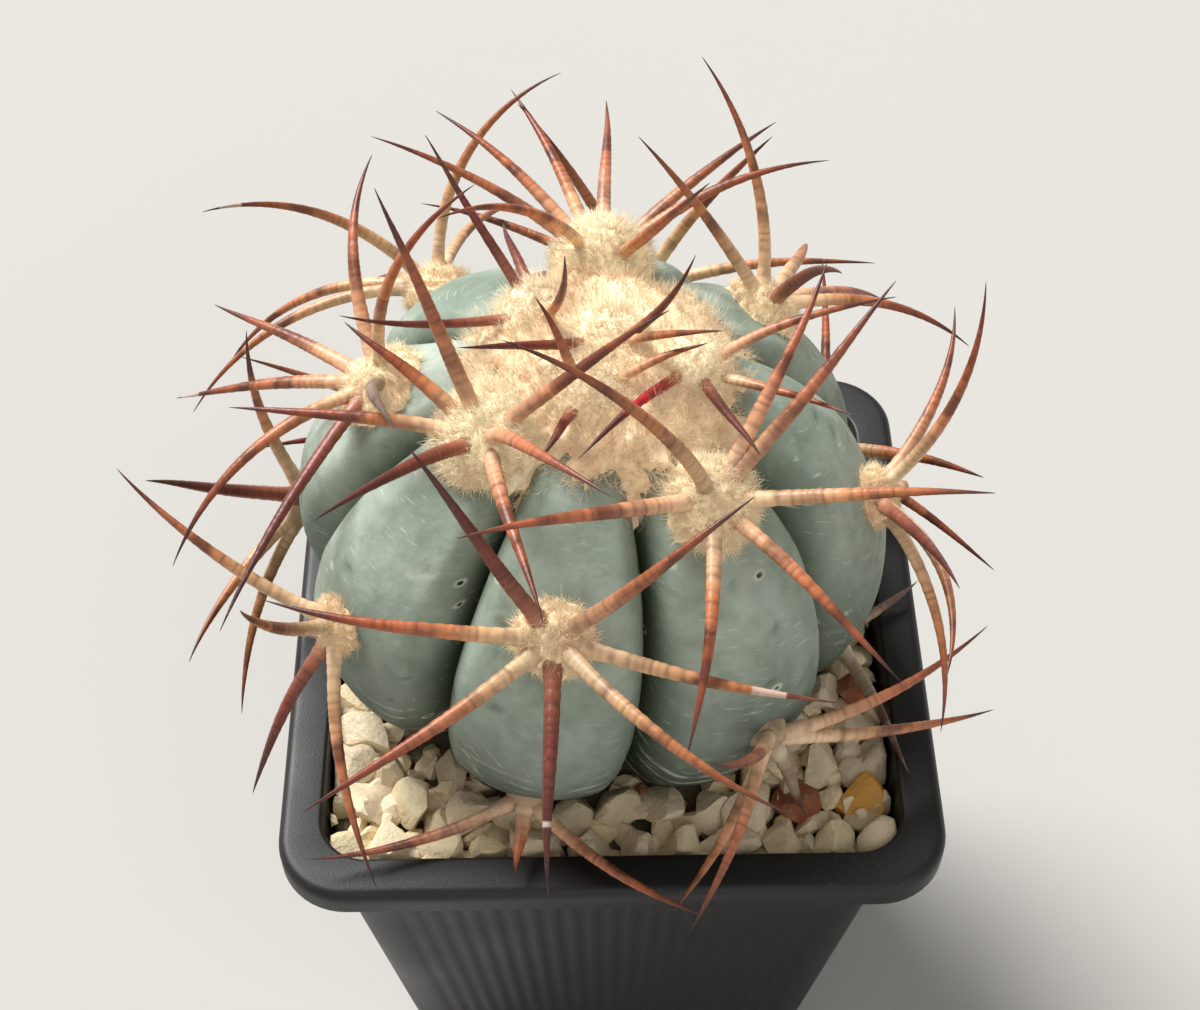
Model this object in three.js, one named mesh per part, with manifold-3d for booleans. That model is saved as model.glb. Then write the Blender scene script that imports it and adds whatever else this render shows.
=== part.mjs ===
// A potted eagle claw cactus: a squat stem with eight broad ribs, woolly areoles
// and ringed, claw-like spines, rooted in a square black plastic pot under gravel.
// Millimetres, +Z up. The origin is the middle of the pot's underside, and the
// plant's front, the side with the lowest crown, faces -Y.

import * as THREE from 'three';
import Module from 'manifold-3d';
import { mergeVertices } from 'three/addons/utils/BufferGeometryUtils.js';

// Driving dimensions

const potHeight = 86;
const rimHalf = 45;            // half the width over the rim
const rimCorner = 9.5;         // radius of the rim's outer corners
const rimDrop = 4.5;           // height of the turned-down lip
const rimRound = 1.4;          // rounding of the lip's upper edge
const wall = 1.3;
const mouthHalf = 39.2;        // half the width of the opening
const mouthCorner = 6.2;
const footHalf = 31.5;         // half the width at the underside
const footCorner = 8;
const footRound = 1;           // bevel round the underside
const lipDraft = 0.2;          // slope of the lip's inner face
const mouthRound = 0.6;        // bevel round the opening
const floorThickness = 1.8;
const drainRadius = 4;
const drainOffset = 17;

const clearance = 0.3;         // gap between pieces that touch
const soilTop = potHeight - 10;
const gravelBed = potHeight - 4.8;
const pebbleLevel = potHeight - 3.4;
const pebbleTop = potHeight - 0.7;
const pebbleRows = 12;
const pebbleColumns = 11;
const pebbleEdge = mouthHalf - 2.8;
const pebbleToStem = 1.6;      // least height of a pebble's middle over the stem

const stemX = -2.5;            // the plant stands a little behind the pot's middle
const stemY = 3;
const stemGirth = 41;          // radius over the ridges at the widest level
const girthLevel = potHeight + 17.8;
const crownRise = 34.5;        // from the widest level up to the growing point
const baseDrop = 31;           // from the widest level down to the root neck
const rootDepth = 50;
const ribs = 8;
const creaseDepth = 0.31;      // share of the radius that a crease cuts in
const creaseReach = 0.97;      // 1 would end the crease in a cusp
const ribFullness = 2.4;       // a larger power makes flatter ribs
const creaseDip = 0.35;        // share of the crease that also lowers the surface
const crownFade = 38;          // degrees over which the creases fade at the crown
const baseFade = 45;           // and at the foot
const creaseFoot = -75;        // degrees, the height where the creases have gone
const ribTwist = 0.1;          // turn of a ridge for each degree that it descends

// The areoles follow one spiral, from the growing point out. Number 5 is the
// one at the front left edge of the crown, and the rest are placed from it.
const areoleCount = 20;
const referenceAreole = 5;
const referenceAzimuth = -50;  // degrees from the front, towards +X
const referenceHeight = 66;    // degrees up the stem's profile
const divergence = 135;        // three ribs on for each areole
const descent = 5.4;           // degrees down from one areole to the next
const descentGrowth = 0.13;    // and how that grows with age
const lowestHeight = -30;      // the oldest areoles lie at the gravel
const lastCrownAreole = 7;     // the wool of areoles 1 to 7 runs into the crown's
const lastWoollyAreole = 13;   // the older ones have shed theirs

const crownWoolRadius = 20;
const crownWoolHeight = 3.4;
const crownWoolSunk = 9;
const crownWoolOffset = 1.5;   // the crown's wool lies a little to the right
const padSunk = 2;
const padDents = 0.24;

const spineSides = 3;
const spineSteps = 4;
const cornerGain = 1.25;       // makes a three-sided spine as stout as a round one
const youngSpineRadius = 0.95;
const lastYoungAreole = 4;
const grownSpineRadius = 1.3;
const spineTipRadius = 0.05;
const spineTaper = 1.6;
const hubRadius = 3;
const hubHeight = 2.4;
const hubSunk = 1;
const rootSpread = 2.9;        // how far from the areole's middle a spine stands
const rootLift = 1.5;          // and how far out of the stem
const rootSunk = 1.2;          // how far a spine reaches back into its hub
const firstBareAreole = 17;    // from here on an areole keeps four spines

// Least distances that a spine keeps
const stemMargin = 0.5;
const rimMargin = 0.6;
const woolMargin = 0.8;
const spineMargin = 0.7;

// Small tools

const wasm = await Module();
wasm.setup();

const radians = (degrees) => degrees * Math.PI / 180;
const mix = (a, b, share) => a + (b - a) * share;
const clamp = (value, low, high) => Math.min(high, Math.max(low, value));

// A repeatable draw between 0 and 1, from the two numbers that name it.
function draw(first, second) {
  const value = Math.sin(first * 12.9898 + second * 78.233) * 43758.5453;
  return value - Math.floor(value);
}

function meshFrom(points, triangles) {
  const geometry = new THREE.BufferGeometry();
  geometry.setAttribute('position', new THREE.Float32BufferAttribute(points, 3));
  geometry.setIndex(triangles);
  return geometry;
}

function solidFrom(geometry) {
  const bare = geometry.clone();
  bare.deleteAttribute('normal');
  bare.deleteAttribute('uv');
  const merged = mergeVertices(bare, 1e-4);
  return new wasm.Manifold(new wasm.Mesh({
    numProp: 3,
    vertProperties: new Float32Array(merged.attributes.position.array),
    triVerts: new Uint32Array(merged.index.array),
  }));
}

function geometryFrom(solid) {
  const mesh = solid.getMesh();
  return meshFrom(Array.from(mesh.vertProperties), Array.from(mesh.triVerts));
}

const joinAll = (solids) => solids.reduce((sum, solid) => sum.add(solid));

// Cutting can leave loose scraps. Only the largest body is kept.
function largestBody(solid) {
  const bodies = solid.decompose();
  return bodies.reduce((best, body) => (body.volume() > best.volume() ? body : best));
}

// Closes a stack of rings, each with the same number of points that run
// anticlockwise seen from above, between a point below and a point above.
function stackRings(below, rings, above) {
  const size = rings[0].length;
  const points = [below, ...rings.flat(), above].flatMap((point) => [point.x, point.y, point.z]);
  const last = 1 + rings.length * size;
  const triangles = [];
  for (let i = 0; i < size; i += 1) {
    const next = (i + 1) % size;
    triangles.push(0, 1 + next, 1 + i);
    for (let ring = 0; ring < rings.length - 1; ring += 1) {
      const a = 1 + ring * size + i;
      const b = 1 + ring * size + next;
      triangles.push(a, b, b + size, a, b + size, a + size);
    }
    triangles.push(last - size + i, last - size + next, last);
  }
  return meshFrom(points, triangles);
}

// Pot: a rounded square is carried round a profile, from the middle of the
// underside, up the outside, over the rim and down the inside to the floor.

function roundedSquare(half, corner, z) {
  const ring = [];
  const steps = 4;
  const inset = half - corner;
  const corners = [[inset, -inset, -90], [inset, inset, 0], [-inset, inset, 90], [-inset, -inset, 180]];
  for (const [x, y, start] of corners) {
    for (let i = 0; i <= steps; i += 1) {
      const angle = radians(start + 90 * i / steps);
      ring.push(new THREE.Vector3(x + corner * Math.cos(angle), y + corner * Math.sin(angle), z));
    }
  }
  return ring;
}

const outerHalf = (z) => mix(footHalf, mouthHalf + wall, z / potHeight);
const innerHalf = (z) => outerHalf(z) - wall;
const innerCorner = (z) => mix(footCorner - wall, mouthCorner, z / potHeight);

function potSolid() {
  const lipTop = potHeight - rimRound;
  const underRim = potHeight - wall;
  const shoulder = 0.3 * rimRound;
  const rings = [
    roundedSquare(footHalf - footRound, footCorner - footRound, 0),
    roundedSquare(outerHalf(footRound), footCorner, footRound),
    roundedSquare(outerHalf(underRim), mouthCorner + wall, underRim),
    roundedSquare(rimHalf - wall - lipDraft, rimCorner - wall, underRim),
    roundedSquare(rimHalf - wall, rimCorner - wall, potHeight - rimDrop),
    roundedSquare(rimHalf, rimCorner, potHeight - rimDrop),
    roundedSquare(rimHalf, rimCorner, lipTop),
    roundedSquare(rimHalf - shoulder, rimCorner - shoulder, potHeight - shoulder),
    roundedSquare(rimHalf - rimRound, rimCorner - rimRound, potHeight),
    roundedSquare(mouthHalf + mouthRound, mouthCorner + mouthRound, potHeight),
    roundedSquare(mouthHalf, mouthCorner, potHeight - mouthRound),
    roundedSquare(innerHalf(floorThickness), innerCorner(floorThickness), floorThickness),
  ];
  const middle = new THREE.Vector3(0, 0, 0);
  const inside = new THREE.Vector3(0, 0, floorThickness);
  let pot = solidFrom(stackRings(middle, rings, inside));
  for (const [sideX, sideY] of [[1, 1], [-1, 1], [-1, -1], [1, -1]]) {
    const drain = new THREE.CylinderGeometry(drainRadius, drainRadius, 4 * floorThickness, 12);
    drain.rotateX(Math.PI / 2);
    drain.translate(sideX * drainOffset, sideY * drainOffset, 0);
    pot = pot.subtract(solidFrom(drain));
  }
  return pot;
}

// The space inside the pot between two heights, less the gap to its walls.
function potFill(bottom, top) {
  const ring = (z) => roundedSquare(innerHalf(z) - clearance, innerCorner(z), z);
  const below = new THREE.Vector3(0, 0, bottom);
  const above = new THREE.Vector3(0, 0, top);
  return solidFrom(stackRings(below, [ring(bottom), ring(top)], above));
}

// Stem: an ellipsoid that eight ribs divide, with a short root under it.

const stemCentre = new THREE.Vector3(stemX, stemY, girthLevel);
const ridgeTurn = (height) => referenceAzimuth - ribTwist * (referenceHeight - height);

// The stem's radius at a place as a share of its radius over the ridges.
function ribShare(azimuth, height) {
  const pitch = 360 / ribs;
  const offset = (azimuth - ridgeTurn(height)) / pitch;
  const across = Math.abs(offset - Math.round(offset)) * 2;
  const crease = 1 - Math.sqrt(1 - Math.pow(creaseReach * across, ribFullness));
  const fromCrown = clamp((90 - height) / crownFade, 0, 1);
  const fromFoot = clamp((height - creaseFoot) / baseFade, 0, 1);
  return 1 - creaseDepth * crease * Math.sqrt(fromCrown) * fromFoot;
}

function stemPoint(azimuth, height, grow) {
  const turn = radians(azimuth);
  const rise = radians(height);
  const share = ribShare(azimuth, height);
  const radius = (stemGirth * share + grow) * Math.cos(rise);
  const reach = height >= 0 ? crownRise : baseDrop;
  const dip = mix(1, share, creaseDip);
  const level = (reach * dip + grow) * Math.sin(rise);
  return new THREE.Vector3(radius * Math.sin(turn), -radius * Math.cos(turn), level).add(stemCentre);
}

// Radius and level of the rings round the root, and the heights of the rings on
// the stem's foot, below the gravel.
const rootRings = [[5, -rootDepth + 8], [9, -baseDrop - 3]];
const footHeights = [-60, -44, -30];

function stemSolid(grow) {
  const perRib = 8;
  const heights = [...footHeights, -18, -6, 6, 18, 30, 41, 51, 60, 69, 80];
  const rings = [];
  for (const [radius, level] of rootRings) {
    const ring = [];
    for (let i = 0; i < ribs * perRib; i += 1) {
      const turn = radians(ridgeTurn(footHeights[0]) + 360 * i / (ribs * perRib));
      const out = radius + grow;
      const corner = new THREE.Vector3(out * Math.sin(turn), -out * Math.cos(turn), level - grow);
      ring.push(corner.add(stemCentre));
    }
    rings.push(ring);
  }
  for (const height of heights) {
    const ring = [];
    for (let rib = 0; rib < ribs; rib += 1) {
      for (let step = 0; step < perRib; step += 1) {
        const across = Math.sin(Math.PI / 2 * (2 * step / perRib - 1)) / 2;
        const azimuth = ridgeTurn(height) + (rib + across) * 360 / ribs;
        ring.push(stemPoint(azimuth, height, grow));
      }
    }
    rings.push(ring);
  }
  const rootTip = new THREE.Vector3(0, 0, -rootDepth - grow).add(stemCentre);
  const crownTip = new THREE.Vector3(0, 0, crownRise + grow).add(stemCentre);
  return solidFrom(stackRings(rootTip, rings, crownTip));
}

// The plain hole that the stem's foot and root stand in.
function socketSolid() {
  const profile = [new THREE.Vector2(0, -rootDepth - clearance)];
  for (const [radius, level] of rootRings) {
    profile.push(new THREE.Vector2(radius + clearance, level - clearance));
  }
  for (const height of footHeights) {
    const radius = stemGirth * Math.cos(radians(height));
    const level = baseDrop * Math.sin(radians(height));
    profile.push(new THREE.Vector2(radius + 2 * clearance, level - clearance));
  }
  profile.push(new THREE.Vector2(0, profile[profile.length - 1].y));
  const socket = new THREE.LatheGeometry(profile, 32);
  socket.rotateX(Math.PI / 2);
  socket.translate(stemX, stemY, girthLevel);
  return solidFrom(socket);
}

// How far a point stands off the stem's surface, measured from its middle.
function heightOverStem(point) {
  const from = point.clone().sub(stemCentre);
  const across = Math.hypot(from.x, from.y) / stemGirth;
  const up = from.z / (from.z >= 0 ? crownRise : baseDrop);
  const size = Math.hypot(across, up);
  const azimuth = THREE.MathUtils.radToDeg(Math.atan2(from.x, -from.y));
  const height = THREE.MathUtils.radToDeg(Math.atan2(up, across));
  return from.length() * (1 - ribShare(azimuth, height) / size);
}

// Areoles: each has a seat on its ridge, with a direction out of the stem, one
// up towards the growing point and one to the side.

function areoleSeat(number) {
  const age = number - referenceAreole;
  const height = Math.max(lowestHeight, referenceHeight - descent * age - descentGrowth * age * age);
  const azimuth = ridgeTurn(height) - divergence * age;
  const turn = radians(azimuth);
  const rise = radians(height);
  const reach = height >= 0 ? crownRise : baseDrop;
  const place = stemPoint(azimuth, height, 0);
  const outward = new THREE.Vector3(
    Math.cos(rise) * Math.sin(turn) / stemGirth,
    -Math.cos(rise) * Math.cos(turn) / stemGirth,
    Math.sin(rise) / reach,
  ).normalize();
  const upward = new THREE.Vector3(
    -stemGirth * Math.sin(rise) * Math.sin(turn),
    stemGirth * Math.sin(rise) * Math.cos(turn),
    reach * Math.cos(rise),
  ).normalize();
  const sideways = upward.clone().cross(outward);
  return { number, age, place, outward, upward, sideways };
}

const seats = [];
for (let number = 1; number <= areoleCount; number += 1) {
  seats.push(areoleSeat(number));
}

// Spines: clock is the way that a spine points round its areole, 0 being up
// towards the growing point. Lean is its tilt away from straight out, curl is
// the further bend from root to tip, in degrees, and the length is in mm.
// These are the spines that show from the front. The rest follow a rule.
const seenSpines = {
  1: [[253, 38, -25, 21], [266, 44, 14, 19], [10, 68, -7, 21]],
  2: [[200, 60, 20, 12], [60, 55, 20, 14], [310, 50, 20, 13]],
  3: [[106, 75, -20, 24], [182, 40, 12, 25], [16, 50, -25, 24], [207, 78, 30, 19]],
  4: [[212, 60, 5, 20], [164, 35, 45, 25], [306, 73, 37, 21], [255, 65, 0, 20]],
  5: [[85, 28, 60, 32], [112, 60, 30, 29], [167, 35, 22, 29], [229, 60, 25, 29],
    [298, 35, 0, 32], [33, 55, 10, 29], [268, 50, 30, 20]],
  6: [[38, 40, 54, 31], [89, 50, 26, 32], [121, 50, 24, 30], [177, 52, 22, 29],
    [256, 46, 39, 31], [232, 52, 20, 30], [325, 55, -5, 28], [148, 50, 15, 29]],
  7: [[32, 55, 35, 30], [328, 30, 80, 37], [76, 50, 25, 32], [293, 70, 40, 32],
    [126, 55, 10, 31], [176, 58, 26, 29], [225, 66, 37, 30]],
  8: [[275, 40, 54, 31], [344, 30, 64, 32], [216, 68, 5, 29], [189, 68, 14, 29],
    [134, 52, 57, 34], [114, 80, 15, 36], [53, 52, 37, 27]],
  9: [[28, 63, 11, 29], [58, 27, 43, 33], [150, 65, 35, 29], [177, 70, 25, 29],
    [212, 50, 50, 30], [320, 46, 35, 29]],
  10: [[325, 60, 20, 29], [45, 45, 65, 31], [275, 60, 45, 33], [90, 70, 25, 32],
    [232, 48, 40, 34], [174, 55, 15, 28], [116, 45, 65, 35]],
  11: [[303, 27, 72, 35], [79, 15, 68, 35], [134, 48, 65, 36], [116, 58, 60, 38],
    [180, 60, 35, 30], [235, 60, 35, 30]],
  12: [[87, 53, 39, 30], [40, 26, 50, 31], [135, 75, 60, 14], [270, 40, 64, 32],
    [235, 60, 48, 30], [292, 53, 14, 29]],
  13: [[294, 45, 28, 32], [18, 20, 42, 24], [170, 50, 30, 24], [127, 65, 30, 31]],
  15: [[108, 66, 20, 33], [88, 73, 25, 31], [226, 65, 20, 24], [248, 50, 20, 25],
    [167, 64, 10, 14], [320, 60, 30, 24]],
  16: [[35, 60, 25, 29], [0, 78, 30, 29], [90, 58, 30, 28], [110, 65, 35, 30]],
  18: [[285, 52, 25, 27], [80, 60, 25, 27], [14, 26, 0, 9]],
  20: [[291, 56, 20, 22], [59, 50, 20, 13]],
};

// A hidden areole bears seven spines, or four if it is old, spread round it with
// small seeded changes.
function ruledSpines(number) {
  const clocks = number >= firstBareAreole ? [55, 95, 265, 305] : [32, 80, 126, 178, 226, 280, 328];
  return clocks.map((clock, index) => [
    clock + mix(-8, 8, draw(number, index)),
    mix(52, 68, draw(number, index + 20)),
    mix(22, 46, draw(number, index + 40)),
    mix(28, 35, draw(number, index + 60)),
  ]);
}

const rootRadius = (number) => (number <= lastYoungAreole ? youngSpineRadius : grownSpineRadius);
const spineRadius = (share, thick) => thick * (1 - Math.pow(share, spineTaper)) + spineTipRadius;

// The middle line of a spine, from its root in the hub to its tip.
function spineLine(seat, [clock, lean, curl, length], steps) {
  const round = radians(clock);
  const aside = seat.upward.clone().multiplyScalar(Math.cos(round));
  aside.addScaledVector(seat.sideways, Math.sin(round));
  const start = seat.place.clone().addScaledVector(seat.outward, rootLift);
  start.addScaledVector(aside, rootSpread * Math.sin(radians(lean)));
  const line = [start];
  for (let step = 0; step < steps; step += 1) {
    const tilt = radians(lean + curl * (step + 0.5) / steps);
    const next = line[step].clone();
    next.addScaledVector(seat.outward, length / steps * Math.cos(tilt));
    next.addScaledVector(aside, length / steps * Math.sin(tilt));
    line.push(next);
  }
  return line;
}

// Wool pads are wide on the young areoles and worn on the old ones.
const padRadius = (number) => clamp(8 - 0.45 * (number - referenceAreole), 3.6, 8);
const padHeight = (number) => (number === 6 ? 7 : mix(3, 4.4, clamp((15 - number) / 10, 0, 1)));

// A spine has room where it clears the stem, the gravel and rim, the wool of
// other areoles and every spine placed before it on another areole.
const testSteps = 12;
const placed = [];

function hasRoom(seat, line, thick) {
  for (let i = 2; i <= testSteps; i += 1) {
    const radius = spineRadius(i / testSteps, thick);
    const point = line[i];
    if (heightOverStem(point) < radius + stemMargin) {
      return false;
    }
    if (i > 3 && point.z < potHeight + radius + rimMargin) {
      return false;
    }
    for (const other of seats) {
      if (other.number !== seat.number) {
        const from = point.clone().sub(other.place);
        const up = from.dot(other.outward);
        const aside = Math.sqrt(Math.max(0, from.lengthSq() - up * up));
        const wide = padRadius(other.number) + radius + woolMargin;
        const tall = padHeight(other.number) + radius + woolMargin;
        const shared = other.number <= lastCrownAreole && seat.number <= lastCrownAreole;
        if (!shared && Math.hypot(aside / wide, up / tall) < 1) {
          return false;
        }
      }
    }
  }
  return placed.every((other) => {
    if (other.number === seat.number) {
      return true;
    }
    for (let i = 0; i <= testSteps; i += 1) {
      for (let j = 0; j < testSteps; j += 1) {
        const span = other.line[j + 1].clone().sub(other.line[j]);
        const from = line[i].clone().sub(other.line[j]);
        const along = clamp(from.dot(span) / span.lengthSq(), 0, 1);
        const apart = from.addScaledVector(span, -along).length();
        const radii = spineRadius(i / testSteps, thick) + spineRadius((j + along) / testSteps, other.thick);
        if (apart < radii + spineMargin) {
          return false;
        }
      }
    }
    return true;
  });
}

// A spine that has no room is turned, straightened or raised by small steps,
// the least change first. One that finds no room is left out.
const changes = [];
for (const turn of [0, 5, -5, 10, -10, 16, -16, 24, -24]) {
  for (const straighten of [0, 12, 24, 36, 50, 65]) {
    for (const raise of [0, 8, 16, 26]) {
      const cost = Math.abs(turn) / 6 + straighten / 14 + raise / 8;
      changes.push({ turn, straighten, raise, cost });
    }
  }
}
changes.sort((a, b) => a.cost - b.cost);

function placeSpine(seat, spine) {
  const thick = rootRadius(seat.number);
  const [clock, lean, curl, length] = spine;
  for (const { turn, straighten, raise } of changes) {
    const tried = [clock + turn, lean - raise, curl - straighten, length];
    const line = spineLine(seat, tried, testSteps);
    if (hasRoom(seat, line, thick)) {
      placed.push({ number: seat.number, line, thick, shape: tried });
      return;
    }
  }
}

for (const seat of seats) {
  const spines = seenSpines[seat.number] ?? ruledSpines(seat.number);
  for (const spine of spines) {
    placeSpine(seat, spine);
  }
}

// One spine: rings of a few sides along its middle line, closed to a point.
// Its root starts back inside the hub.
function spineSolid(seat, shape, thick, grow) {
  const line = spineLine(seat, shape, spineSteps);
  const first = line[1].clone().sub(line[0]).normalize();
  const root = line[0].clone().addScaledVector(first, -rootSunk);
  const last = line[spineSteps].clone().sub(line[spineSteps - 1]).normalize();
  const tip = line[spineSteps].clone().addScaledVector(last, grow);
  const round = radians(shape[0]);
  const across = seat.sideways.clone().multiplyScalar(Math.cos(round));
  across.addScaledVector(seat.upward, -Math.sin(round));
  const centres = [root, ...line.slice(1, spineSteps)];
  const rings = centres.map((centre, index) => {
    const before = index === 0 ? root : centres[index - 1];
    const after = index === 0 ? line[1] : line[index + 1];
    const along = after.clone().sub(before).normalize();
    const over = along.clone().cross(across).normalize();
    const radius = (spineRadius(index / spineSteps, thick) + grow) * cornerGain;
    const ring = [];
    for (let side = 0; side < spineSides; side += 1) {
      const angle = 2 * Math.PI * side / spineSides;
      const corner = centre.clone().addScaledVector(across, radius * Math.cos(angle));
      ring.push(corner.addScaledVector(over, radius * Math.sin(angle)));
    }
    return ring;
  });
  return solidFrom(stackRings(root, rings, tip));
}

// A round lump of wool or horn, with seeded dents.
function lump(seat, wide, tall, sunk, detail, dents) {
  const ball = new THREE.IcosahedronGeometry(1, detail);
  const turned = new THREE.Matrix4().makeBasis(seat.sideways, seat.upward, seat.outward);
  const centre = seat.place.clone().addScaledVector(seat.outward, -sunk);
  const merged = mergeVertices(meshFrom(Array.from(ball.attributes.position.array),
    Array.from({ length: ball.attributes.position.count }, (_, index) => index)), 1e-4);
  const position = merged.attributes.position;
  for (let i = 0; i < position.count; i += 1) {
    const swell = 1 + dents * (draw(seat.number + 100, i) - 0.5);
    position.setXYZ(i, position.getX(i) * wide * swell, position.getY(i) * wide * swell,
      position.getZ(i) * (tall + sunk) * swell);
  }
  merged.applyMatrix4(turned);
  merged.translate(centre.x, centre.y, centre.z);
  return solidFrom(merged);
}

function spineCluster(seat, grow) {
  const hub = lump(seat, hubRadius + grow, hubHeight + grow, hubSunk, 0, 0);
  const spines = placed.filter((spine) => spine.number === seat.number);
  return joinAll([hub, ...spines.map((spine) => spineSolid(seat, spine.shape, spine.thick, grow))]);
}

// Gravel: a bed with pebbles that stand out of it, on a grid of staggered rows.

function pebble(x, y, index) {
  const ball = new THREE.IcosahedronGeometry(1, 0);
  const long = mix(2.7, 3.4, draw(index, 1));
  const wide = mix(2.3, 2.8, draw(index, 2));
  const flat = mix(2.1, 2.7, draw(index, 3));
  ball.scale(long, wide, flat);
  ball.rotateX(mix(-0.35, 0.35, draw(index, 4)));
  ball.rotateY(mix(-0.35, 0.35, draw(index, 5)));
  ball.rotateZ(2 * Math.PI * draw(index, 6));
  ball.translate(x, y, pebbleLevel + mix(-0.6, 0.6, draw(index, 7)));
  return solidFrom(ball);
}

function gravelSolid() {
  const pebbles = [];
  let index = 0;
  for (let row = 0; row <= pebbleRows; row += 1) {
    for (let column = 0; column <= pebbleColumns; column += 1) {
      index += 1;
      const across = (column + (row % 2) / 2) / pebbleColumns;
      const x = mix(-pebbleEdge, pebbleEdge, across) + mix(-0.6, 0.6, draw(index, 8));
      const y = mix(-pebbleEdge, pebbleEdge, row / pebbleRows) + mix(-0.4, 0.4, draw(index, 9));
      const low = heightOverStem(new THREE.Vector3(x, y, pebbleLevel));
      const high = heightOverStem(new THREE.Vector3(x, y, pebbleTop));
      if (across <= 1 && Math.min(low, high) > pebbleToStem) {
        pebbles.push(pebble(x, y, index));
      }
    }
  }
  const bed = potFill(soilTop + clearance, gravelBed).subtract(socket);
  const inside = potFill(soilTop + clearance, pebbleTop);
  return joinAll([bed, ...pebbles]).intersect(inside);
}

// The object

const plant = new THREE.Group();

function addNode(name, solid, colour, roughness) {
  const material = new THREE.MeshStandardMaterial({ color: colour, roughness, metalness: 0 });
  const mesh = new THREE.Mesh(geometryFrom(solid), material);
  mesh.name = name;
  plant.add(mesh);
}

const stem = stemSolid(0);
const stemRoom = stemSolid(clearance + 0.05);
const socket = socketSolid();
const clusters = seats.map((seat) => largestBody(spineCluster(seat, 0).subtract(stemRoom)));
const clusterRooms = seats.map((seat) => spineCluster(seat, clearance));

addNode('pot', potSolid(), 0x1b1c1f, 0.55);
addNode('soil', potFill(floorThickness + clearance, soilTop).subtract(socket), 0x3a2c20, 0.95);
let gravel = gravelSolid().subtract(stemRoom);
for (const room of clusterRooms.slice(lastWoollyAreole)) {
  gravel = gravel.subtract(room);
}
addNode('gravel', largestBody(gravel), 0xd8cbb0, 0.8);
addNode('stem', stem, 0x7c8f83, 0.65);

const crownSeat = {
  number: 0,
  place: stemCentre.clone().add(new THREE.Vector3(crownWoolOffset, 0, crownRise)),
  outward: new THREE.Vector3(0, 0, 1),
  upward: new THREE.Vector3(0, 1, 0),
  sideways: new THREE.Vector3(1, 0, 0),
};
const crownPads = seats.slice(referenceAreole - 1, lastCrownAreole).map(
  (seat) => lump(seat, padRadius(seat.number), padHeight(seat.number), padSunk, 1, padDents),
);
const crownLump = lump(crownSeat, crownWoolRadius, crownWoolHeight, crownWoolSunk, 1, padDents / 2);
let crownWool = joinAll([crownLump, ...crownPads]).subtract(stemRoom);
for (const room of clusterRooms) {
  crownWool = crownWool.subtract(room);
}
addNode('crown_wool', largestBody(crownWool), 0xe6d8b4, 0.95);

for (const seat of seats) {
  const label = String(seat.number).padStart(2, '0');
  if (seat.number > lastCrownAreole && seat.number <= lastWoollyAreole) {
    const pad = lump(seat, padRadius(seat.number), padHeight(seat.number), padSunk, 1, padDents);
    const wool = pad.subtract(stemRoom).subtract(clusterRooms[seat.number - 1]);
    addNode(`wool_${label}`, largestBody(wool), 0xe6d8b4, 0.95);
  }
  addNode(`spines_${label}`, clusters[seat.number - 1], 0xa5532f, 0.55);
}

export default plant;
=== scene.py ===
import math

import bmesh
import bpy
import numpy as np
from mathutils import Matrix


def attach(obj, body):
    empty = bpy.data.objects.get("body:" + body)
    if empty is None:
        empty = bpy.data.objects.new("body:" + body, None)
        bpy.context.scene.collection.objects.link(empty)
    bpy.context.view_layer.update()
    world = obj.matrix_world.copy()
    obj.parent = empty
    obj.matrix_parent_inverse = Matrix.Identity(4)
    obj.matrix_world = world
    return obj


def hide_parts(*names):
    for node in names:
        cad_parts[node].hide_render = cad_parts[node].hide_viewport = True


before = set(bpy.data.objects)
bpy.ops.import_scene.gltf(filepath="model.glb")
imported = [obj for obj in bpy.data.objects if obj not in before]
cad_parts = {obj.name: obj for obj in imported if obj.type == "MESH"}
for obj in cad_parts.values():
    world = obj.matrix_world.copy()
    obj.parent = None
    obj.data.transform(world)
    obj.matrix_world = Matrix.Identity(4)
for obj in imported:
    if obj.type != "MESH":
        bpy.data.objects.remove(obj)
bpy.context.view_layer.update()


# POT. A square nursery pot, injection-moulded in one piece from black polypropylene,
# with a flat flange turned down into a short lip, fine vertical flutes on the walls
# and four drain holes. It stands on its underside and holds everything else.

POT_HEIGHT = 86.0
RIM_HALF = 45.0
RIM_CORNER = 9.5
RIM_DROP = 4.5
RIM_ROUND = 1.4
WALL = 1.3
MOUTH_HALF = 39.2
MOUTH_CORNER = 6.2
MOUTH_ROUND = 0.6
FOOT_HALF = 31.5
FOOT_CORNER = 8.0
FOOT_ROUND = 1.0
FLOOR_THICKNESS = 1.8
DRAIN_RADIUS = 4.0
DRAIN_OFFSET = 17.0
FLUTES = 11
FLUTE_DEPTH = 0.28
SIDE_POINTS = 44
CORNER_POINTS = 12


def linear(red, green, blue):
    """An sRGB colour of three numbers up to 255, as the linear colour a shader takes."""
    channels = np.array([red, green, blue]) / 255
    low = channels / 12.92
    high = ((channels + 0.055) / 1.055) ** 2.4
    return (*np.where(channels <= 0.04045, low, high).tolist(), 1.0)


def tone_of(colour):
    """The three linear channels of an sRGB colour."""
    return np.array(linear(*colour)[:3])


def mix(first, second, share):
    """The first value at share 0, the second at share 1, and a straight line between them."""
    return first + (second - first) * share


def unit(vectors):
    """The vectors divided by their lengths."""
    return vectors / np.linalg.norm(vectors, axis=-1, keepdims=True)


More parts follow.
